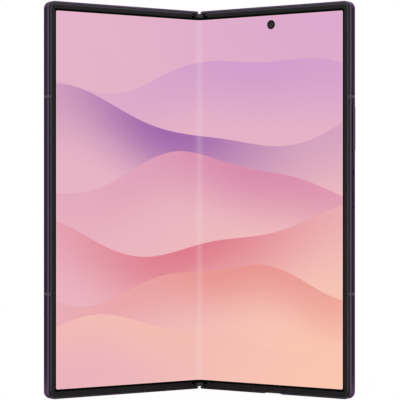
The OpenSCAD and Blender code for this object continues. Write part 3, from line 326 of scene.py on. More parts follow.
# a finish with cloudy colour, fine grain and uneven gloss; tint may add to its colour and
# bend to its normal
def finish(name, variant="", tint=None, bend=None):
    if name + variant in made:
        return made[name + variant]
    look = finishes[name]
    material = bpy.data.materials.new(name + variant)
    material.use_nodes = True
    tree = material.node_tree
    surface = setting(tree.nodes["Principled BSDF"], Metallic=look["metallic"])
    surface.inputs["Specular IOR Level"].default_value = look.get("shine", 0.5)
    surface.inputs["Specular Tint"].default_value = (*look.get("rimTint", (1, 1, 1)), 1)
    place = tree.nodes.new("ShaderNodeTexCoord").outputs["Object"]
    turned = setting(tree.nodes.new("ShaderNodeMapping"), Scale=look["stretch"])
    tree.links.new(place, turned.inputs[0])
    grain = setting(tree.nodes.new("ShaderNodeTexNoise"), Scale=look["grain"], Detail=3.0)
    tree.links.new(turned.outputs[0], grain.inputs["Vector"])
    cloud = setting(tree.nodes.new("ShaderNodeTexNoise"), Scale=look["cloud"], Detail=4.0)
    tree.links.new(place, cloud.inputs["Vector"])
    light = [min(1, c * (1 + look["mottle"])) for c in shade(*look["colour"])[:3]] + [1]
    dark = [c * (1 - look["mottle"]) for c in shade(*look["colour"])[:3]] + [1]
    spread = calc(tree, "ADD", calc(tree, "MULTIPLY", cloud.outputs[0], pattern["cloudShare"]),
                  calc(tree, "MULTIPLY", grain.outputs[0], pattern["grainShare"]))
    colour = blendColour(tree, noiseFactor(tree, spread), dark, light)
    feed(tree, tint(tree, colour) if tint else colour, surface.inputs["Base Color"])
    feed(tree, between(tree, grain.outputs[0], *pattern["glossRange"],
                       look["roughness"] - pattern["glossDown"],
                       look["roughness"] + pattern["glossUp"]), surface.inputs["Roughness"])
    bump = setting(tree.nodes.new("ShaderNodeBump"), Strength=look["depth"],
                   Distance=pattern["grainHeight"])
    tree.links.new(grain.outputs[0], bump.inputs["Height"])
    if bend:
        tree.links.new(bend(tree), bump.inputs["Normal"])
    tree.links.new(bump.outputs[0], surface.inputs["Normal"])
    made[name + variant] = material
    return material


# the picture on the display: soft dunes, one behind another, in millimetres on the panel
dunes = {
    "corners": {"topLeft": (230, 180, 202), "topRight": (222, 170, 206),
                "lowLeft": (236, 180, 190), "lowRight": (252, 200, 176)},
    # crest height, waves as (height, length, start), colour, how strong, how far down it
    # fades, and (middle, reach) of where it is strongest
    "layers": [
        (52, ((7, 26, 0.5), (2.5, 11, 2.0)), (206, 152, 206), 0.70, 30, (24, 95)),
        (33, ((11, 30, 3.9), (2.5, 12.5, 0.6)), (156, 96, 170), 0.92, 34, (-14, 74)),
        (10, ((9, 25, 1.6), (2.2, 10.5, 3.0)), (214, 128, 168), 0.80, 30, (26, 90)),
        (-12, ((10, 31, 5.2), (2.4, 12, 1.2)), (222, 112, 132), 0.86, 32, (-6, 84)),
        (-34, ((7, 24, 0.9), (2.0, 9.5, 4.0)), (232, 138, 132), 0.78, 26, (20, 96)),
        (-54, ((6, 27, 3.3), (1.8, 10, 0.2)), (246, 190, 178), 0.85, 24, (-30, 90)),
    ],
    "crispness": 0.12, "weakest": 0.25,
}


# the picture as a node group, from a flat place to a colour
def dunePicture():
    group = bpy.data.node_groups.new("dunePicture", "ShaderNodeTree")
    group.interface.new_socket("Flat", in_out="INPUT", socket_type="NodeSocketVector")
    group.interface.new_socket("Color", in_out="OUTPUT", socket_type="NodeSocketColor")
    start = group.nodes.new("NodeGroupInput")
    end = group.nodes.new("NodeGroupOutput")
    split = group.nodes.new("ShaderNodeSeparateXYZ")
    group.links.new(start.outputs[0], split.inputs[0])
    x, z = split.outputs[0], split.outputs[2]
    corners = {key: shade(*value) for key, value in dunes["corners"].items()}
    across = between(group, x, -phone["activeX"], phone["activeX"])
    up = between(group, z, -phone["activeZ"], phone["activeZ"])
    top = blendColour(group, across, corners["topLeft"], corners["topRight"])
    low = blendColour(group, across, corners["lowLeft"], corners["lowRight"])
    ground = blendColour(group, up, low, top)
    picture = ground
    for height, waves, colour, strength, fade, (middle, width) in dunes["layers"]:
        crest = height
        for tall, length, begin in waves:
            wave = calc(group, "SINE", calc(group, "MULTIPLY_ADD", x, 1 / length, begin))
            crest = calc(group, "MULTIPLY_ADD", wave, tall, crest)
        below = calc(group, "SUBTRACT", crest, z)
        inside = between(group, below, -dunes["crispness"], dunes["crispness"])
        off = calc(group, "ABSOLUTE", calc(group, "SUBTRACT", x, middle))
        strong = between(group, off, 0, width, strength, strength * dunes["weakest"])
        deep = calc(group, "MULTIPLY", between(group, below, 0, fade, 1, 0), strong)
        body = blendColour(group, deep, ground, shade(*colour))
        picture = blendColour(group, inside, picture, body)
    group.links.new(picture, end.inputs[0])
    return group


# lengths in millimetres; mapSize is the square that the strip's own map covers
panelGlass = {"border": (2, 2, 3), "roughness": 0.24, "uneven": 0.02, "shine": 0.03,
              "glow": 0.97, "base": 0.02, "edgeLine": 0.30, "edgeWidth": 0.45, "edgeInner": 0.1,
              "edgeBlur": 0.03, "edgeColour": (255, 214, 210), "creaseHighlight": 0.11,
              "creaseReach": 2.6, "creaseHighlightColour": (250, 240, 246), "speckScale": 14.0,
              "speckDim": 0.985, "mapSize": 200}


# places on a half as drawn flat, in millimetres, for shaders of solids in the standing frame
def flatSpot(tree, side):
    spot = tree.nodes.new("ShaderNodeMapping")
    turn = Matrix.Rotation(side * phone["turn"], 3, "Z")
    pivot = Vector((side * phone["axisX"], phone["axisRow"], topZ))
    flat = Vector((side * phone["axisX"], phone["axisY"], 0))
    spot.inputs["Location"].default_value = flat - turn @ pivot
    spot.inputs["Rotation"].default_value = (0, 0, side * phone["turn"])
    spot.inputs["Scale"].default_value = toMillimetres
    tree.links.new(tree.nodes.new("ShaderNodeTexCoord").outputs["Object"], spot.inputs[0])
    return spot


# how far outside a round-cornered rectangle round the middle a place lies, in millimetres
def outside(tree, x, z, halfX, halfZ, corner):
    overX = calc(tree, "SUBTRACT", calc(tree, "ABSOLUTE", x), halfX - corner)
    overZ = calc(tree, "SUBTRACT", calc(tree, "ABSOLUTE", z), halfZ - corner)
    outX, outZ = calc(tree, "MAXIMUM", overX, 0), calc(tree, "MAXIMUM", overZ, 0)
    reach = calc(tree, "SQRT", calc(tree, "ADD", calc(tree, "MULTIPLY", outX, outX),
                                    calc(tree, "MULTIPLY", outZ, outZ)))
    inner = calc(tree, "MINIMUM", calc(tree, "MAXIMUM", overX, overZ), 0)
    return calc(tree, "SUBTRACT", calc(tree, "ADD", reach, inner), corner)


# lit panel: the picture within the black border; side is 0 for pieces with their own map
def displayMaterial(name, side):
    material = bpy.data.materials.new(name)
    material.use_nodes = True
    tree = material.node_tree
    surface = tree.nodes["Principled BSDF"]
    glass = panelGlass
    if side:
        spot = flatSpot(tree, side)
    else:
        # the map holds x and z as shares of a square round the panel's middle
        size = glass["mapSize"]
        spot = tree.nodes.new("ShaderNodeMapping")
        spot.inputs["Location"].default_value = (-size / 2, 0, -size / 2)
        spot.inputs["Scale"].default_value = (size, 1, size)
        split = tree.nodes.new("ShaderNodeSeparateXYZ")
        tree.links.new(setting(tree.nodes.new("ShaderNodeUVMap"), uv_map="flatMap").outputs[0],
                       split.inputs[0])
        join = tree.nodes.new("ShaderNodeCombineXYZ")
        tree.links.new(split.outputs[0], join.inputs[0])
        tree.links.new(split.outputs[1], join.inputs[2])
        tree.links.new(join.outputs[0], spot.inputs[0])
    picture = tree.nodes.new("ShaderNodeGroup")
    picture.node_tree = bpy.data.node_groups["dunePicture"]
    tree.links.new(spot.outputs[0], picture.inputs[0])
    split = tree.nodes.new("ShaderNodeSeparateXYZ")
    tree.links.new(spot.outputs[0], split.inputs[0])
    edge = outside(tree, split.outputs[0], split.outputs[2], phone["activeX"], phone["activeZ"],
                   phone["activeCorner"])
    lit = between(tree, edge, -glass["edgeBlur"], glass["edgeBlur"], 1, 0)
    rimLine = between(tree, edge, -glass["edgeWidth"], -glass["edgeInner"], 0, glass["edgeLine"])
    shown = blendColour(tree, rimLine, picture.outputs[0], shade(*glass["edgeColour"]))
    if not side:
        # a painted highlight runs along the fold's middle, where the bend would catch light
        creaseHighlight = between(tree, calc(tree, "ABSOLUTE", split.outputs[0]), 0,
                         glass["creaseReach"], glass["creaseHighlight"], 0)
        shown = blendColour(tree, creaseHighlight, shown, shade(*glass["creaseHighlightColour"]))
    speck = setting(tree.nodes.new("ShaderNodeTexNoise"), Scale=glass["speckScale"], Detail=2.0)
    tree.links.new(spot.outputs[0], speck.inputs["Vector"])
    even = between(tree, speck.outputs[0], *pattern["range"], glass["speckDim"], 1.0)
    shown = blendColour(tree, 1.0, shown, even, "MULTIPLY")
    border = shade(*glass["border"])
    feed(tree, blendColour(tree, lit, border, blendColour(tree, glass["base"], border, shown)),
         surface.inputs["Base Color"])
    feed(tree, blendColour(tree, lit, (0, 0, 0, 1), shown), surface.inputs["Emission Color"])
    surface.inputs["Emission Strength"].default_value = glass["glow"]
    surface.inputs["Specular IOR Level"].default_value = glass["shine"]
    feed(tree, between(tree, speck.outputs[0], *pattern["range"],
                       glass["roughness"] - glass["uneven"],
                       glass["roughness"] + glass["uneven"]), surface.inputs["Roughness"])
    return material


# pairs are where a band begins and ends, in millimetres on the flat half, but capCrown in metres
trim = {
    # the first row sets the rim's painted shoulder highlight: its colour, its band, and its
    # weaker share along the low edge
    "shoulder": (64, 64, 66), "shoulderIn": (0.8, 1.0), "shoulderOut": (1.1, 1.6),
    "lowFrom": (-78.5, -74), "lowHighlight": 0.25,
    # painted shade in the frame: along its joint against the rim, and at the side key's ends
    "jointShade": 0.03, "seamDepth": (0.26, 0.4), "seamFront": (0.3, 0.6), "seamSide": (70.2, 70.8),
    "keyY": 2.7, "keyZ": 4.0, "keyReach": 7.0, "tickWidth": (0.45, 0.65),
    "tickHeight": (0.6, 0.85), "curve": 0.7, "curveTo": 1.3,
    "capMiddle": (50, 50, 52), "capSide": 0.3, "capCrown": (0.0007, 0.0023),
}


# how far inside the phone's outline a place on a half lies, with its flat place
def depthInside(tree, side):
    split = tree.nodes.new("ShaderNodeSeparateXYZ")
    tree.links.new(flatSpot(tree, side).outputs[0], split.inputs[0])
    edge = outside(tree, split.outputs[0], split.outputs[2], phone["halfWidth"], topZ,
                   phone["corner"])
    return calc(tree, "MULTIPLY", edge, -1), split.outputs


# the rim's rounded shoulder carries a painted highlight, weaker along the low edge, where less
# light falls
def rimMaterial(side):
    def tint(tree, colour):
        depth, flat = depthInside(tree, side)
        # painted highlight on the rounded shoulder, faded along the low edge
        paintedHighlight = calc(tree, "MULTIPLY", between(tree, depth, *trim["shoulderIn"]),
                    between(tree, depth, *trim["shoulderOut"], 1, 0))
        paintedHighlight = calc(tree, "MULTIPLY", paintedHighlight,
                    between(tree, flat[2], *trim["lowFrom"], trim["lowHighlight"], 1))
        return blendColour(tree, paintedHighlight, colour, shade(*trim["shoulder"]))
    return finish("rimPlastic", "Right" if side > 0 else "Left", tint)


# the frame's front lip gets painted shade in the joint against the rim, and its side painted
# shade in the slot clearance at the side key's ends
def frameMaterial(side):
    def tint(tree, colour):
        depth, flat = depthInside(tree, side)
        # painted shade along the joint between the front lip and the rim
        jointShadeMask = calc(tree, "MULTIPLY", between(tree, depth, *trim["seamDepth"]),
                     between(tree, flat[1], *trim["seamFront"], 1, 0))
        jointShadeMask = calc(tree, "MULTIPLY", jointShadeMask,
                     between(tree, calc(tree, "ABSOLUTE", flat[0]), *trim["seamSide"]))
        if side > 0:
            # painted shade in the slot clearance at both ends of the side key
            along = calc(tree, "ABSOLUTE", calc(tree, "SUBTRACT", flat[2], trim["keyZ"]))
            end = calc(tree, "ABSOLUTE", calc(tree, "SUBTRACT", along, trim["keyReach"]))
            off = calc(tree, "ABSOLUTE", calc(tree, "SUBTRACT", flat[1], trim["keyY"]))
            keyEndShade = calc(tree, "MULTIPLY", between(tree, end, *trim["tickWidth"], 1, 0),
                        between(tree, off, *trim["tickHeight"], 1, 0))
            jointShadeMask = calc(tree, "MAXIMUM", jointShadeMask, keyEndShade)
        dark = blendColour(tree, 1.0, colour, (trim["jointShade"],) * 3 + (1,), "MULTIPLY")
        return blendColour(tree, jointShadeMask, colour, dark)

    # the side wall curves softly into the front lip
    def bend(tree):
        split = tree.nodes.new("ShaderNodeSeparateXYZ")
        tree.links.new(flatSpot(tree, side).outputs[0], split.inputs[0])
        near = calc(tree, "MAXIMUM", 0, calc(tree, "SUBTRACT", trim["curveTo"], split.outputs[1]))
        fall = calc(tree, "MULTIPLY", calc(tree, "MULTIPLY", near, near), -trim["curve"] / 2)
        shape = setting(tree.nodes.new("ShaderNodeBump"), Strength=1.0, Distance=0.001)
        tree.links.new(fall, shape.inputs["Height"])
        return shape.outputs[0]
    return finish("frameMetal", "Right" if side > 0 else "Left", tint, bend)


# the cap over the hinge is paler on its crown than on its sides
def capMaterial():
    def tint(tree, colour):
        split = tree.nodes.new("ShaderNodeSeparateXYZ")
        tree.links.new(tree.nodes.new("ShaderNodeTexCoord").outputs["Object"], split.inputs[0])
        across = calc(tree, "ABSOLUTE", split.outputs[0])
        dark = blendColour(tree, 1.0, colour, (trim["capSide"],) * 3 + (1,), "MULTIPLY")
        return blendColour(tree, between(tree, across, *trim["capCrown"]),
                           shade(*trim["capMiddle"]), dark)
    return finish("capRubber", "Crown", tint)


# distance in millimetres from a point of the standing phone, and the place seen from there
def centred(tree, place):
    spot = tree.nodes.new("ShaderNodeMapping")
    spot.inputs["Scale"].default_value = toMillimetres
    spot.inputs["Location"].default_value = -1000 * place
    tree.links.new(tree.nodes.new("ShaderNodeTexCoord").outputs["Object"], spot.inputs[0])
    far = tree.nodes.new("ShaderNodeVectorMath")
    far.operation = "LENGTH"
    tree.links.new(spot.outputs[0], far.inputs[0])
    return far.outputs["Value"], spot.outputs[0]


innerWindow = {"x": 34.9, "y": 0.27, "fromTop": 7.55, "pupil": (1.15, 1.4), "shine": 0.08,
               "ring": (5, 5, 6), "dark": (31, 31, 34), "light": (43, 43, 46)}


# the inner camera's window: a dark grey pupil in a black ring
def windowMaterial():
    window = innerWindow
    material = bpy.data.materials.new("innerWindow")
    material.use_nodes = True
    tree = material.node_tree
    surface = setting(tree.nodes["Principled BSDF"], Roughness=0.06)
    surface.inputs["Specular IOR Level"].default_value = window["shine"]
    far, spot = centred(tree, rowPoint(window["x"], window["y"], topZ - window["fromTop"]))
    speck = setting(tree.nodes.new("ShaderNodeTexNoise"), Scale=1.8, Detail=2.0)
    tree.links.new(spot, speck.inputs["Vector"])
    pupil = between(tree, far, *window["pupil"], 1, 0)
    grey = blendColour(tree, noiseFactor(tree, speck.outputs[0]), shade(*window["dark"]),
                       shade(*window["light"]))
    feed(tree, blendColour(tree, pupil, shade(*window["ring"]), grey),
         surface.inputs["Base Color"])
    return material


coverCamera = {"fromTop": 6, "ringR": 1.75, "ringBlur": (0.05, 0.2), "lens": (0.7, 1.0),
               "ringColour": (46, 45, 50), "lensColour": (26, 24, 44), "dark": (11, 11, 13),
               "light": (17, 16, 19)}


# outer display, switched off: black glass, with its camera's lens and ring just visible
def coverGlassMaterial():
    camera = coverCamera
    material = bpy.data.materials.new("coverGlassBlack")
    material.use_nodes = True
    tree = material.node_tree
    surface = setting(tree.nodes["Principled BSDF"], Roughness=0.09)
    far, spot = centred(tree, rowPoint(phone["halfWidth"] / 2, phone["thickness"],
                                       topZ - camera["fromTop"], -1))
    speck = setting(tree.nodes.new("ShaderNodeTexNoise"), Scale=0.06, Detail=4.0)
    tree.links.new(spot, speck.inputs["Vector"])
    off = calc(tree, "ABSOLUTE", calc(tree, "SUBTRACT", far, camera["ringR"]))
    ring = between(tree, off, *camera["ringBlur"], 1, 0)
    lens = between(tree, far, *camera["lens"], 1, 0)
    black = blendColour(tree, noiseFactor(tree, speck.outputs[0]), shade(*camera["dark"]),
                        shade(*camera["light"]))
    black = blendColour(tree, ring, black, shade(*camera["ringColour"]))
    feed(tree, blendColour(tree, lens, black, shade(*camera["lensColour"])),
         surface.inputs["Base Color"])
    surface.inputs["Coat Weight"].default_value = 0.4
    return material


clearGlass = {"bend": 1.5, "hazeScale": 240.0, "dark": (0.62, 0.6, 0.66, 1),
              "light": (0.70, 0.68, 0.74, 1), "roughness": (0.01, 0.03)}


# cover glass of the rear lenses
def clearGlassMaterial():
    glass = clearGlass
    material = bpy.data.materials.new("lensGlass")
    material.use_nodes = True
    tree = material.node_tree
    surface = setting(tree.nodes["Principled BSDF"], IOR=glass["bend"])
    surface.inputs["Transmission Weight"].default_value = 1.0
    place = tree.nodes.new("ShaderNodeTexCoord").outputs["Object"]
    haze = setting(tree.nodes.new("ShaderNodeTexNoise"), Scale=glass["hazeScale"], Detail=3.0)
    tree.links.new(place, haze.inputs["Vector"])
    feed(tree, blendColour(tree, noiseFactor(tree, haze.outputs[0]), glass["dark"],
                           glass["light"]), surface.inputs["Base Color"])
    feed(tree, between(tree, haze.outputs[0], *pattern["range"], *glass["roughness"]),
         surface.inputs["Roughness"])
    return material


# camera island on the right half's back: its place, and that of the lenses and the flash
island = {"fromSide": 4.2, "fromTop": 4.5, "radius": 8.7, "height": 1.4, "pitch": 16.2,
          "flashGap": 4.5}
islandX = phone["halfWidth"] - island["fromSide"] - island["radius"]
islandZ = topZ - island["fromTop"] - island["radius"]
flashLens = {"rings": 24.0, "chip": (0.5, 1.3), "chipColour": (236, 206, 96),
             "dark": (206, 204, 196), "light": (232, 230, 222)}


# frosted flash lens with fine rings over a warm chip
def flashMaterial():
    flash = flashLens
    material = bpy.data.materials.new("flashLens")
    material.use_nodes = True
    tree = material.node_tree
    surface = setting(tree.nodes["Principled BSDF"], Roughness=0.22)
    place = rowPoint(islandX - island["radius"] - island["flashGap"], phone["thickness"],
                     islandZ - island["pitch"] / 2)
    far = centred(tree, place)[0]
    rings = calc(tree, "SINE", calc(tree, "MULTIPLY", far, flash["rings"]))
    warm = between(tree, far, *flash["chip"], 1, 0)
    frost = blendColour(tree, between(tree, rings, -1, 1), shade(*flash["dark"]),
                        shade(*flash["light"]))
    feed(tree, blendColour(tree, warm, frost, shade(*flash["chipColour"])),
         surface.inputs["Base Color"])
    bump = setting(tree.nodes.new("ShaderNodeBump"), Strength=0.35, Distance=0.00008)
    tree.links.new(rings, bump.inputs["Height"])
    tree.links.new(bump.outputs[0], surface.inputs["Normal"])
    return material


lensCoating = {"facing": 0.35, "hazeScale": 420.0, "hazeRange": (0.35, 0.65),
               "dark": (20, 14, 40), "light": (44, 22, 66), "aslant": (16, 46, 52),
               "coatRoughness": 0.03}


# front element of a rear lens, violet seen straight on and green aslant
def coatedLensMaterial():
    coating = lensCoating
    material = bpy.data.materials.new("coatedLens")
    material.use_nodes = True
    tree = material.node_tree
    surface = setting(tree.nodes["Principled BSDF"], Roughness=0.04)
    weight = setting(tree.nodes.new("ShaderNodeLayerWeight"), Blend=coating["facing"])
    haze = setting(tree.nodes.new("ShaderNodeTexNoise"), Scale=coating["hazeScale"], Detail=2.0)
    tree.links.new(tree.nodes.new("ShaderNodeTexCoord").outputs["Object"], haze.inputs["Vector"])
    violet = blendColour(tree, between(tree, haze.outputs[0], *coating["hazeRange"]),
                         shade(*coating["dark"]), shade(*coating["light"]))
    feed(tree, blendColour(tree, weight.outputs["Facing"], violet, shade(*coating["aslant"])),
         surface.inputs["Base Color"])
    surface.inputs["Coat Weight"].default_value = 1.0
    surface.inputs["Coat Roughness"].default_value = coating["coatRoughness"]
    return material


dunePicture()
# finishes by material slot, and the materials of nodes that have their own
slotFinish = {
    "frame_metal": "frameMetal", "antenna_plastic": "antennaPlastic",
    "support_steel": "rolledSteel", "hinge_steel": "machinedSteel",
    "pin_steel": "groundSteel", "screw_steel": "blackScrew", "gear_brass": "gearBrass",
    "battery_foil": "batteryFoil", "board_laminate": "boardMask", "can_steel": "canSteel",
    "coil_copper": "coilCopper", "ribbon_film": "ribbonFilm", "camera_black": "cameraBlack",
    "back_glass": "satinBack", "ring_metal": "ringMetal", "black_plastic": "blackPlastic",
    "panel_black": "cameraBlack", "card_plastic": "cardPlastic",
}
ownMaterials = {
    "display_right": displayMaterial("rightPanel", 1),
    "display_left": displayMaterial("leftPanel", -1),
    "inner_camera_window": windowMaterial(),
    "cover_glass": coverGlassMaterial(),
    "lens_glasses": clearGlassMaterial(),
    "flash_window": flashMaterial(),
    "right_rim": rimMaterial(1),
    "left_rim": rimMaterial(-1),
    "right_frame": frameMaterial(1),
    "left_frame": frameMaterial(-1),
    "fold_cap_top": capMaterial(),
    "fold_cap_bottom": capMaterial(),
}
coatedLens = coatedLensMaterial()
stripPicture = displayMaterial("stripPanel", 0)


# gives every solid its own material or its slot's finish; display_fold, which a piece
# replaces, gets plain black
def dressNodes():
    for part in frame["record"]["subparts"]:
        node = nodes[part["node"]]
        material = ownMaterials.get(part["node"])
        if material is None:
            material = finish(slotFinish.get(part["material_slot"], "blackPlastic"))
        if not node.material_slots:
            node.data.materials.append(material)
        for slot in node.material_slots:
            slot.material = material


dressNodes()
print("solids dressed")


# makes a finished bmesh an object with its materials
def addPiece(name, bm, materials, smooth=True):
    bmesh.ops.recalc_face_normals(bm, faces=bm.faces)
    mesh = bpy.data.meshes.new(name)
    bm.to_mesh(mesh)
    bm.free()
    for material in materials:
        mesh.materials.append(material)
    for face in mesh.polygons:
        face.use_smooth = smooth
    piece = bpy.data.objects.new(name, mesh)
    bpy.context.collection.objects.link(piece)
    return piece


# weld is in millimetres; above flatEnd a face's normal counts as pointing along the strip
foldStrip = {"arcSteps": 28, "weld": 1e-5, "flatEnd": 0.98}


# half of the bending strip: an arc from the hinge line to the flat panel
def addFoldStrip(side):
    turn, thick = phone["turn"], phone["stripThick"]
    reach = phone["stripX"] - phone["axisX"]
    drop = phone["displayY"] - phone["axisY"]
    radius = (phone["axisX"] + reach * math.cos(turn) + drop * math.sin(turn)) / math.sin(turn)
    centreY = (phone["axisRow"] - reach * math.sin(turn) + drop * math.cos(turn)
               - radius * math.cos(turn))
    low = (phone["height"] - phone["panelHeight"]) / 2
    size = panelGlass["mapSize"]
    bm = bmesh.new()
    ends = [bm.verts.new((0, centreY + r, low)) for r in (radius, radius + thick)]
    edge = bm.edges.new(ends)
    bmesh.ops.spin(bm, geom=[*ends, edge], cent=(0, centreY, low), axis=(0, 0, -side),
                   angle=turn, steps=foldStrip["arcSteps"])
    raised = bmesh.ops.extrude_face_region(bm, geom=bm.faces[:])
    lifted = [v for v in raised["geom"] if isinstance(v, bmesh.types.BMVert)]
    bmesh.ops.translate(bm, vec=(0, 0, phone["panelHeight"]), verts=lifted)
    bmesh.ops.remove_doubles(bm, verts=bm.verts[:], dist=foldStrip["weld"])
    flatMap = bm.loops.layers.uv.new("flatMap")
    for face in bm.faces:
        for loop in face.loops:
            x, y, z = loop.vert.co
            along = math.atan2(side * x, y - centreY) / turn * phone["stripX"] * side
            loop[flatMap].uv = (along / size + 0.5, (z - topZ) / size + 0.5)
    bmesh.ops.scale(bm, vec=toMetres, verts=bm.verts[:])
    name = "foldStripRight" if side > 0 else "foldStripLeft"
    strip = addPiece(name, bm, [stripPicture])
    strip.data.polygons.foreach_set("use_smooth", [
        abs(f.normal.z) < 0.5 and not isEnd(f, side) for f in strip.data.polygons])
    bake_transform(strip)
    return strip


# true for the two narrow faces at a strip's ends, which stay flat
def isEnd(face, side):
    turn = phone["turn"]
    outward = Vector((math.cos(turn), -math.sin(turn), 0))
    normal = Vector((side * face.normal.x, face.normal.y, 0))
    return normal.dot(outward) > foldStrip["flatEnd"] or normal.x < -foldStrip["flatEnd"]


strips = [addFoldStrip(1), addFoldStrip(-1)]
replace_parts(strips[0], "display_fold")
print("fold strips bent")


# half of the flat cable that crosses the hinge
def addRibbon(side):
    bm = bmesh.new()
    bm.from_mesh(nodes["fold_ribbon_cable"].data)
    bmesh.ops.remove_doubles(bm, verts=bm.verts[:], dist=1e-7)
    cut = bmesh.ops.bisect_plane(bm, geom=bm.verts[:] + bm.edges[:] + bm.faces[:],
                                 plane_co=(0, 0, 0), plane_no=(-side, 0, 0), clear_outer=True)
    rim = [e for e in cut["geom_cut"] if isinstance(e, bmesh.types.BMEdge)]
    bmesh.ops.contextual_create(bm, geom=rim)
    name = "ribbonCableRight" if side > 0 else "ribbonCableLeft"
    ribbon = addPiece(name, bm, [finish("ribbonFilm")], smooth=False)
    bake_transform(ribbon)
    return ribbon


ribbons = [addRibbon(1), addRibbon(-1)]
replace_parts(ribbons[0], "fold_ribbon_cable")
print("ribbon cable laid")

# outerY is the port shell's outer face on the flat half and halfShell half its thickness
portContacts = {"pads": 12, "pitch": 0.5, "width": 0.28, "length": 2.6, "thick": 0.03,
                "faceY": 0.35, "lowZ": 0.9, "outerY": 3.85 - 0.05, "halfShell": 1.42,
                "fromEdge": 0.35}


# gold pads on both faces of the charging port's tongue
def addPortContacts():
    pads = portContacts
    middle = rowPoint(phone["halfWidth"] / 2, pads["outerY"] - pads["halfShell"],
                      pads["fromEdge"] - topZ)
    turn = Matrix.Rotation(-phone["turn"], 4, "Z")
    bm = bmesh.new()
    for face in (-1, 1):
        for n in range(pads["pads"]):
            x = (n - (pads["pads"] - 1) / 2) * pads["pitch"]
            size = Matrix.Diagonal((pads["width"], pads["thick"], pads["length"], 1))
            spot = Matrix.Translation((x, face * (pads["faceY"] + pads["thick"] / 2),
                                       pads["lowZ"] + pads["length"] / 2))
            bmesh.ops.create_cube(bm, size=1, matrix=spot @ size)
    bmesh.ops.scale(bm, vec=toMetres, verts=bm.verts[:])
    bmesh.ops.transform(bm, matrix=Matrix.Translation(middle) @ turn, verts=bm.verts[:])
    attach(addPiece("portContacts", bm, [finish("contactGold")], False),
            "right_half")


addPortContacts()

# sunk is how far the cap reaches into its flange, flangeOver how much longer the flange is
volumeKey = {"middleY": 2.7, "middleZ": 28.5, "length": 18.6, "height": 1.4, "topX": 72.2,
             "rootX": 69.7, "sunk": 0.02, "round": 0.45, "steps": 5, "arc": 14,
             "flangeThick": 0.25, "flangeOver": 1.4, "flangeRound": 0.4, "flangeSteps": 4,
             "nubs": (-6, 6), "nubR": 0.5, "nubLength": 0.3, "nubOff": 0.1, "nubSides": 24,
             "sharpFrom": 40}


# the volume key again, with a rounded edge on its cap
def addVolumeKey():
    key = volumeKey
    radius, half = key["height"] / 2, (key["length"] - key["height"]) / 2
    bm = bmesh.new()
    ring = []
    for end in (1, -1):
        for n in range(key["arc"] + 1):
            turn = math.pi * n / key["arc"]
            ring.append(bm.verts.new((key["rootX"] - key["sunk"],
                                      key["middleY"] + end * radius * math.cos(turn),
                                      key["middleZ"] + end * (half + radius * math.sin(turn)))))
    raised = bmesh.ops.extrude_face_region(bm, geom=[bm.faces.new(ring)])
    crown = [v for v in raised["geom"] if isinstance(v, bmesh.types.BMVert)]
    bmesh.ops.translate(bm, vec=(key["topX"] - key["rootX"] + key["sunk"], 0, 0), verts=crown)
    rim = [e for e in bm.edges if e.verts[0] in crown and e.verts[1] in crown]
    bmesh.ops.bevel(bm, geom=rim, offset=key["round"], offset_type="OFFSET", affect="EDGES",
                    segments=key["steps"], profile=0.5, material=-1)
    size = Matrix.Diagonal((key["flangeThick"], key["height"],
                            key["length"] + key["flangeOver"], 1))
    spot = Matrix.Translation((key["rootX"] - key["flangeThick"] / 2, key["middleY"],
                               key["middleZ"]))
    block = bmesh.ops.create_cube(bm, size=1, matrix=spot @ size)["verts"]
    corners = [e for e in bm.edges if e.verts[0] in block
               and abs(e.verts[0].co.x - e.verts[1].co.x) > 0.01]
    bmesh.ops.bevel(bm, geom=corners, offset=key["flangeRound"], offset_type="OFFSET",
                    affect="EDGES", segments=key["flangeSteps"], profile=0.5, material=-1)
    for z in key["nubs"]:
        place = Matrix.Translation((key["rootX"] - key["flangeThick"] - key["nubOff"],
                                    key["middleY"], key["middleZ"] + z))
        bmesh.ops.create_cone(bm, cap_ends=True, segments=key["nubSides"],
                              radius1=key["nubR"], radius2=key["nubR"], depth=key["nubLength"],
                              matrix=place @ Matrix.Rotation(math.pi / 2, 4, "Y"))
    for v in bm.verts:
        v.co = rowPoint(*v.co)
    rocker = addPiece("volumeRocker", bm, [finish("frameMetal")])
    rocker.data.set_sharp_from_angle(angle=math.radians(key["sharpFrom"]))
    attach(rocker, "volume_rocker")
    return rocker


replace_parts(addVolumeKey(), "volume_key")

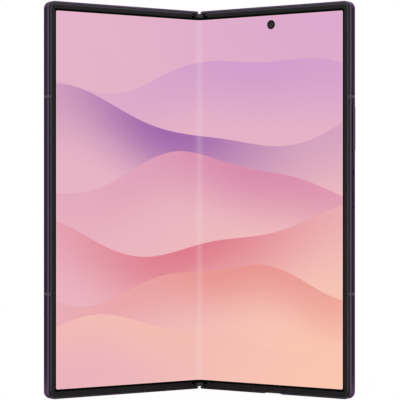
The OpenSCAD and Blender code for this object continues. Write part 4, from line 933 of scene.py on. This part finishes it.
# heights run out of the back, from a plane sunk below the island's top; the lip is the
# mount's middle step, and weld is in metres
rearLens = {"count": 3, "sunk": 0.2, "boreR": 2.38, "boreFrom": -0.02, "boreTo": -0.12,
            "lipR": 2.2, "lipFrom": -0.14, "lipTo": -0.24, "wallFrom": -0.27, "floor": -0.49,
            "centreR": 0.001, "domeR": 1.95, "domeGap": 0.02, "domeFoot": 0.08,
            "domeRise": 0.22, "arcStep": 9, "sides": 48, "weld": 2e-6}


# stepped mount and domed front element in each rear camera's mouth
def addRearLenses():
    lens = rearLens
    faceY = phone["thickness"] + island["height"] - lens["sunk"]
    wallR = lens["domeR"] + lens["domeGap"]
    steps = [(lens["boreR"], lens["boreFrom"]), (lens["boreR"], lens["boreTo"]),
             (lens["lipR"], lens["lipFrom"]), (lens["lipR"], lens["lipTo"]),
             (wallR, lens["wallFrom"]), (wallR, lens["floor"]),
             (lens["centreR"], lens["floor"])]
    arc = [(lens["domeR"] * math.sin(math.radians(a)),
            lens["floor"] + lens["domeFoot"] + lens["domeRise"] * math.cos(math.radians(a)))
           for a in range(90, -1, -lens["arcStep"])]
    for name, profile, material, slotName in (
            ("rearLensMounts", steps, finish("cameraBlack"), "camera_black"),
            ("rearLensDomes", arc, coatedLens, "lens_window")):
        bm = bmesh.new()
        for n in range(lens["count"]):
            verts = [bm.verts.new((r, 0, h)) for r, h in profile]
            edges = [bm.edges.new(pair) for pair in zip(verts, verts[1:])]
            bmesh.ops.spin(bm, geom=[*verts, *edges], cent=(0, 0, 0), axis=(0, 0, 1),
                           angle=2 * math.pi, steps=lens["sides"], use_merge=True)
            place = halfFrame(islandX, faceY, islandZ - n * island["pitch"])
            fresh = [v for v in bm.verts if not v.tag]
            bmesh.ops.transform(bm, matrix=place @ Matrix.Scale(0.001, 4), verts=fresh)
            for v in fresh:
                v.tag = True
        bmesh.ops.remove_doubles(bm, verts=bm.verts[:], dist=lens["weld"])
        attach(addPiece(name, bm, [material]), "right_half")


addRearLenses()
print("port and lenses detailed")
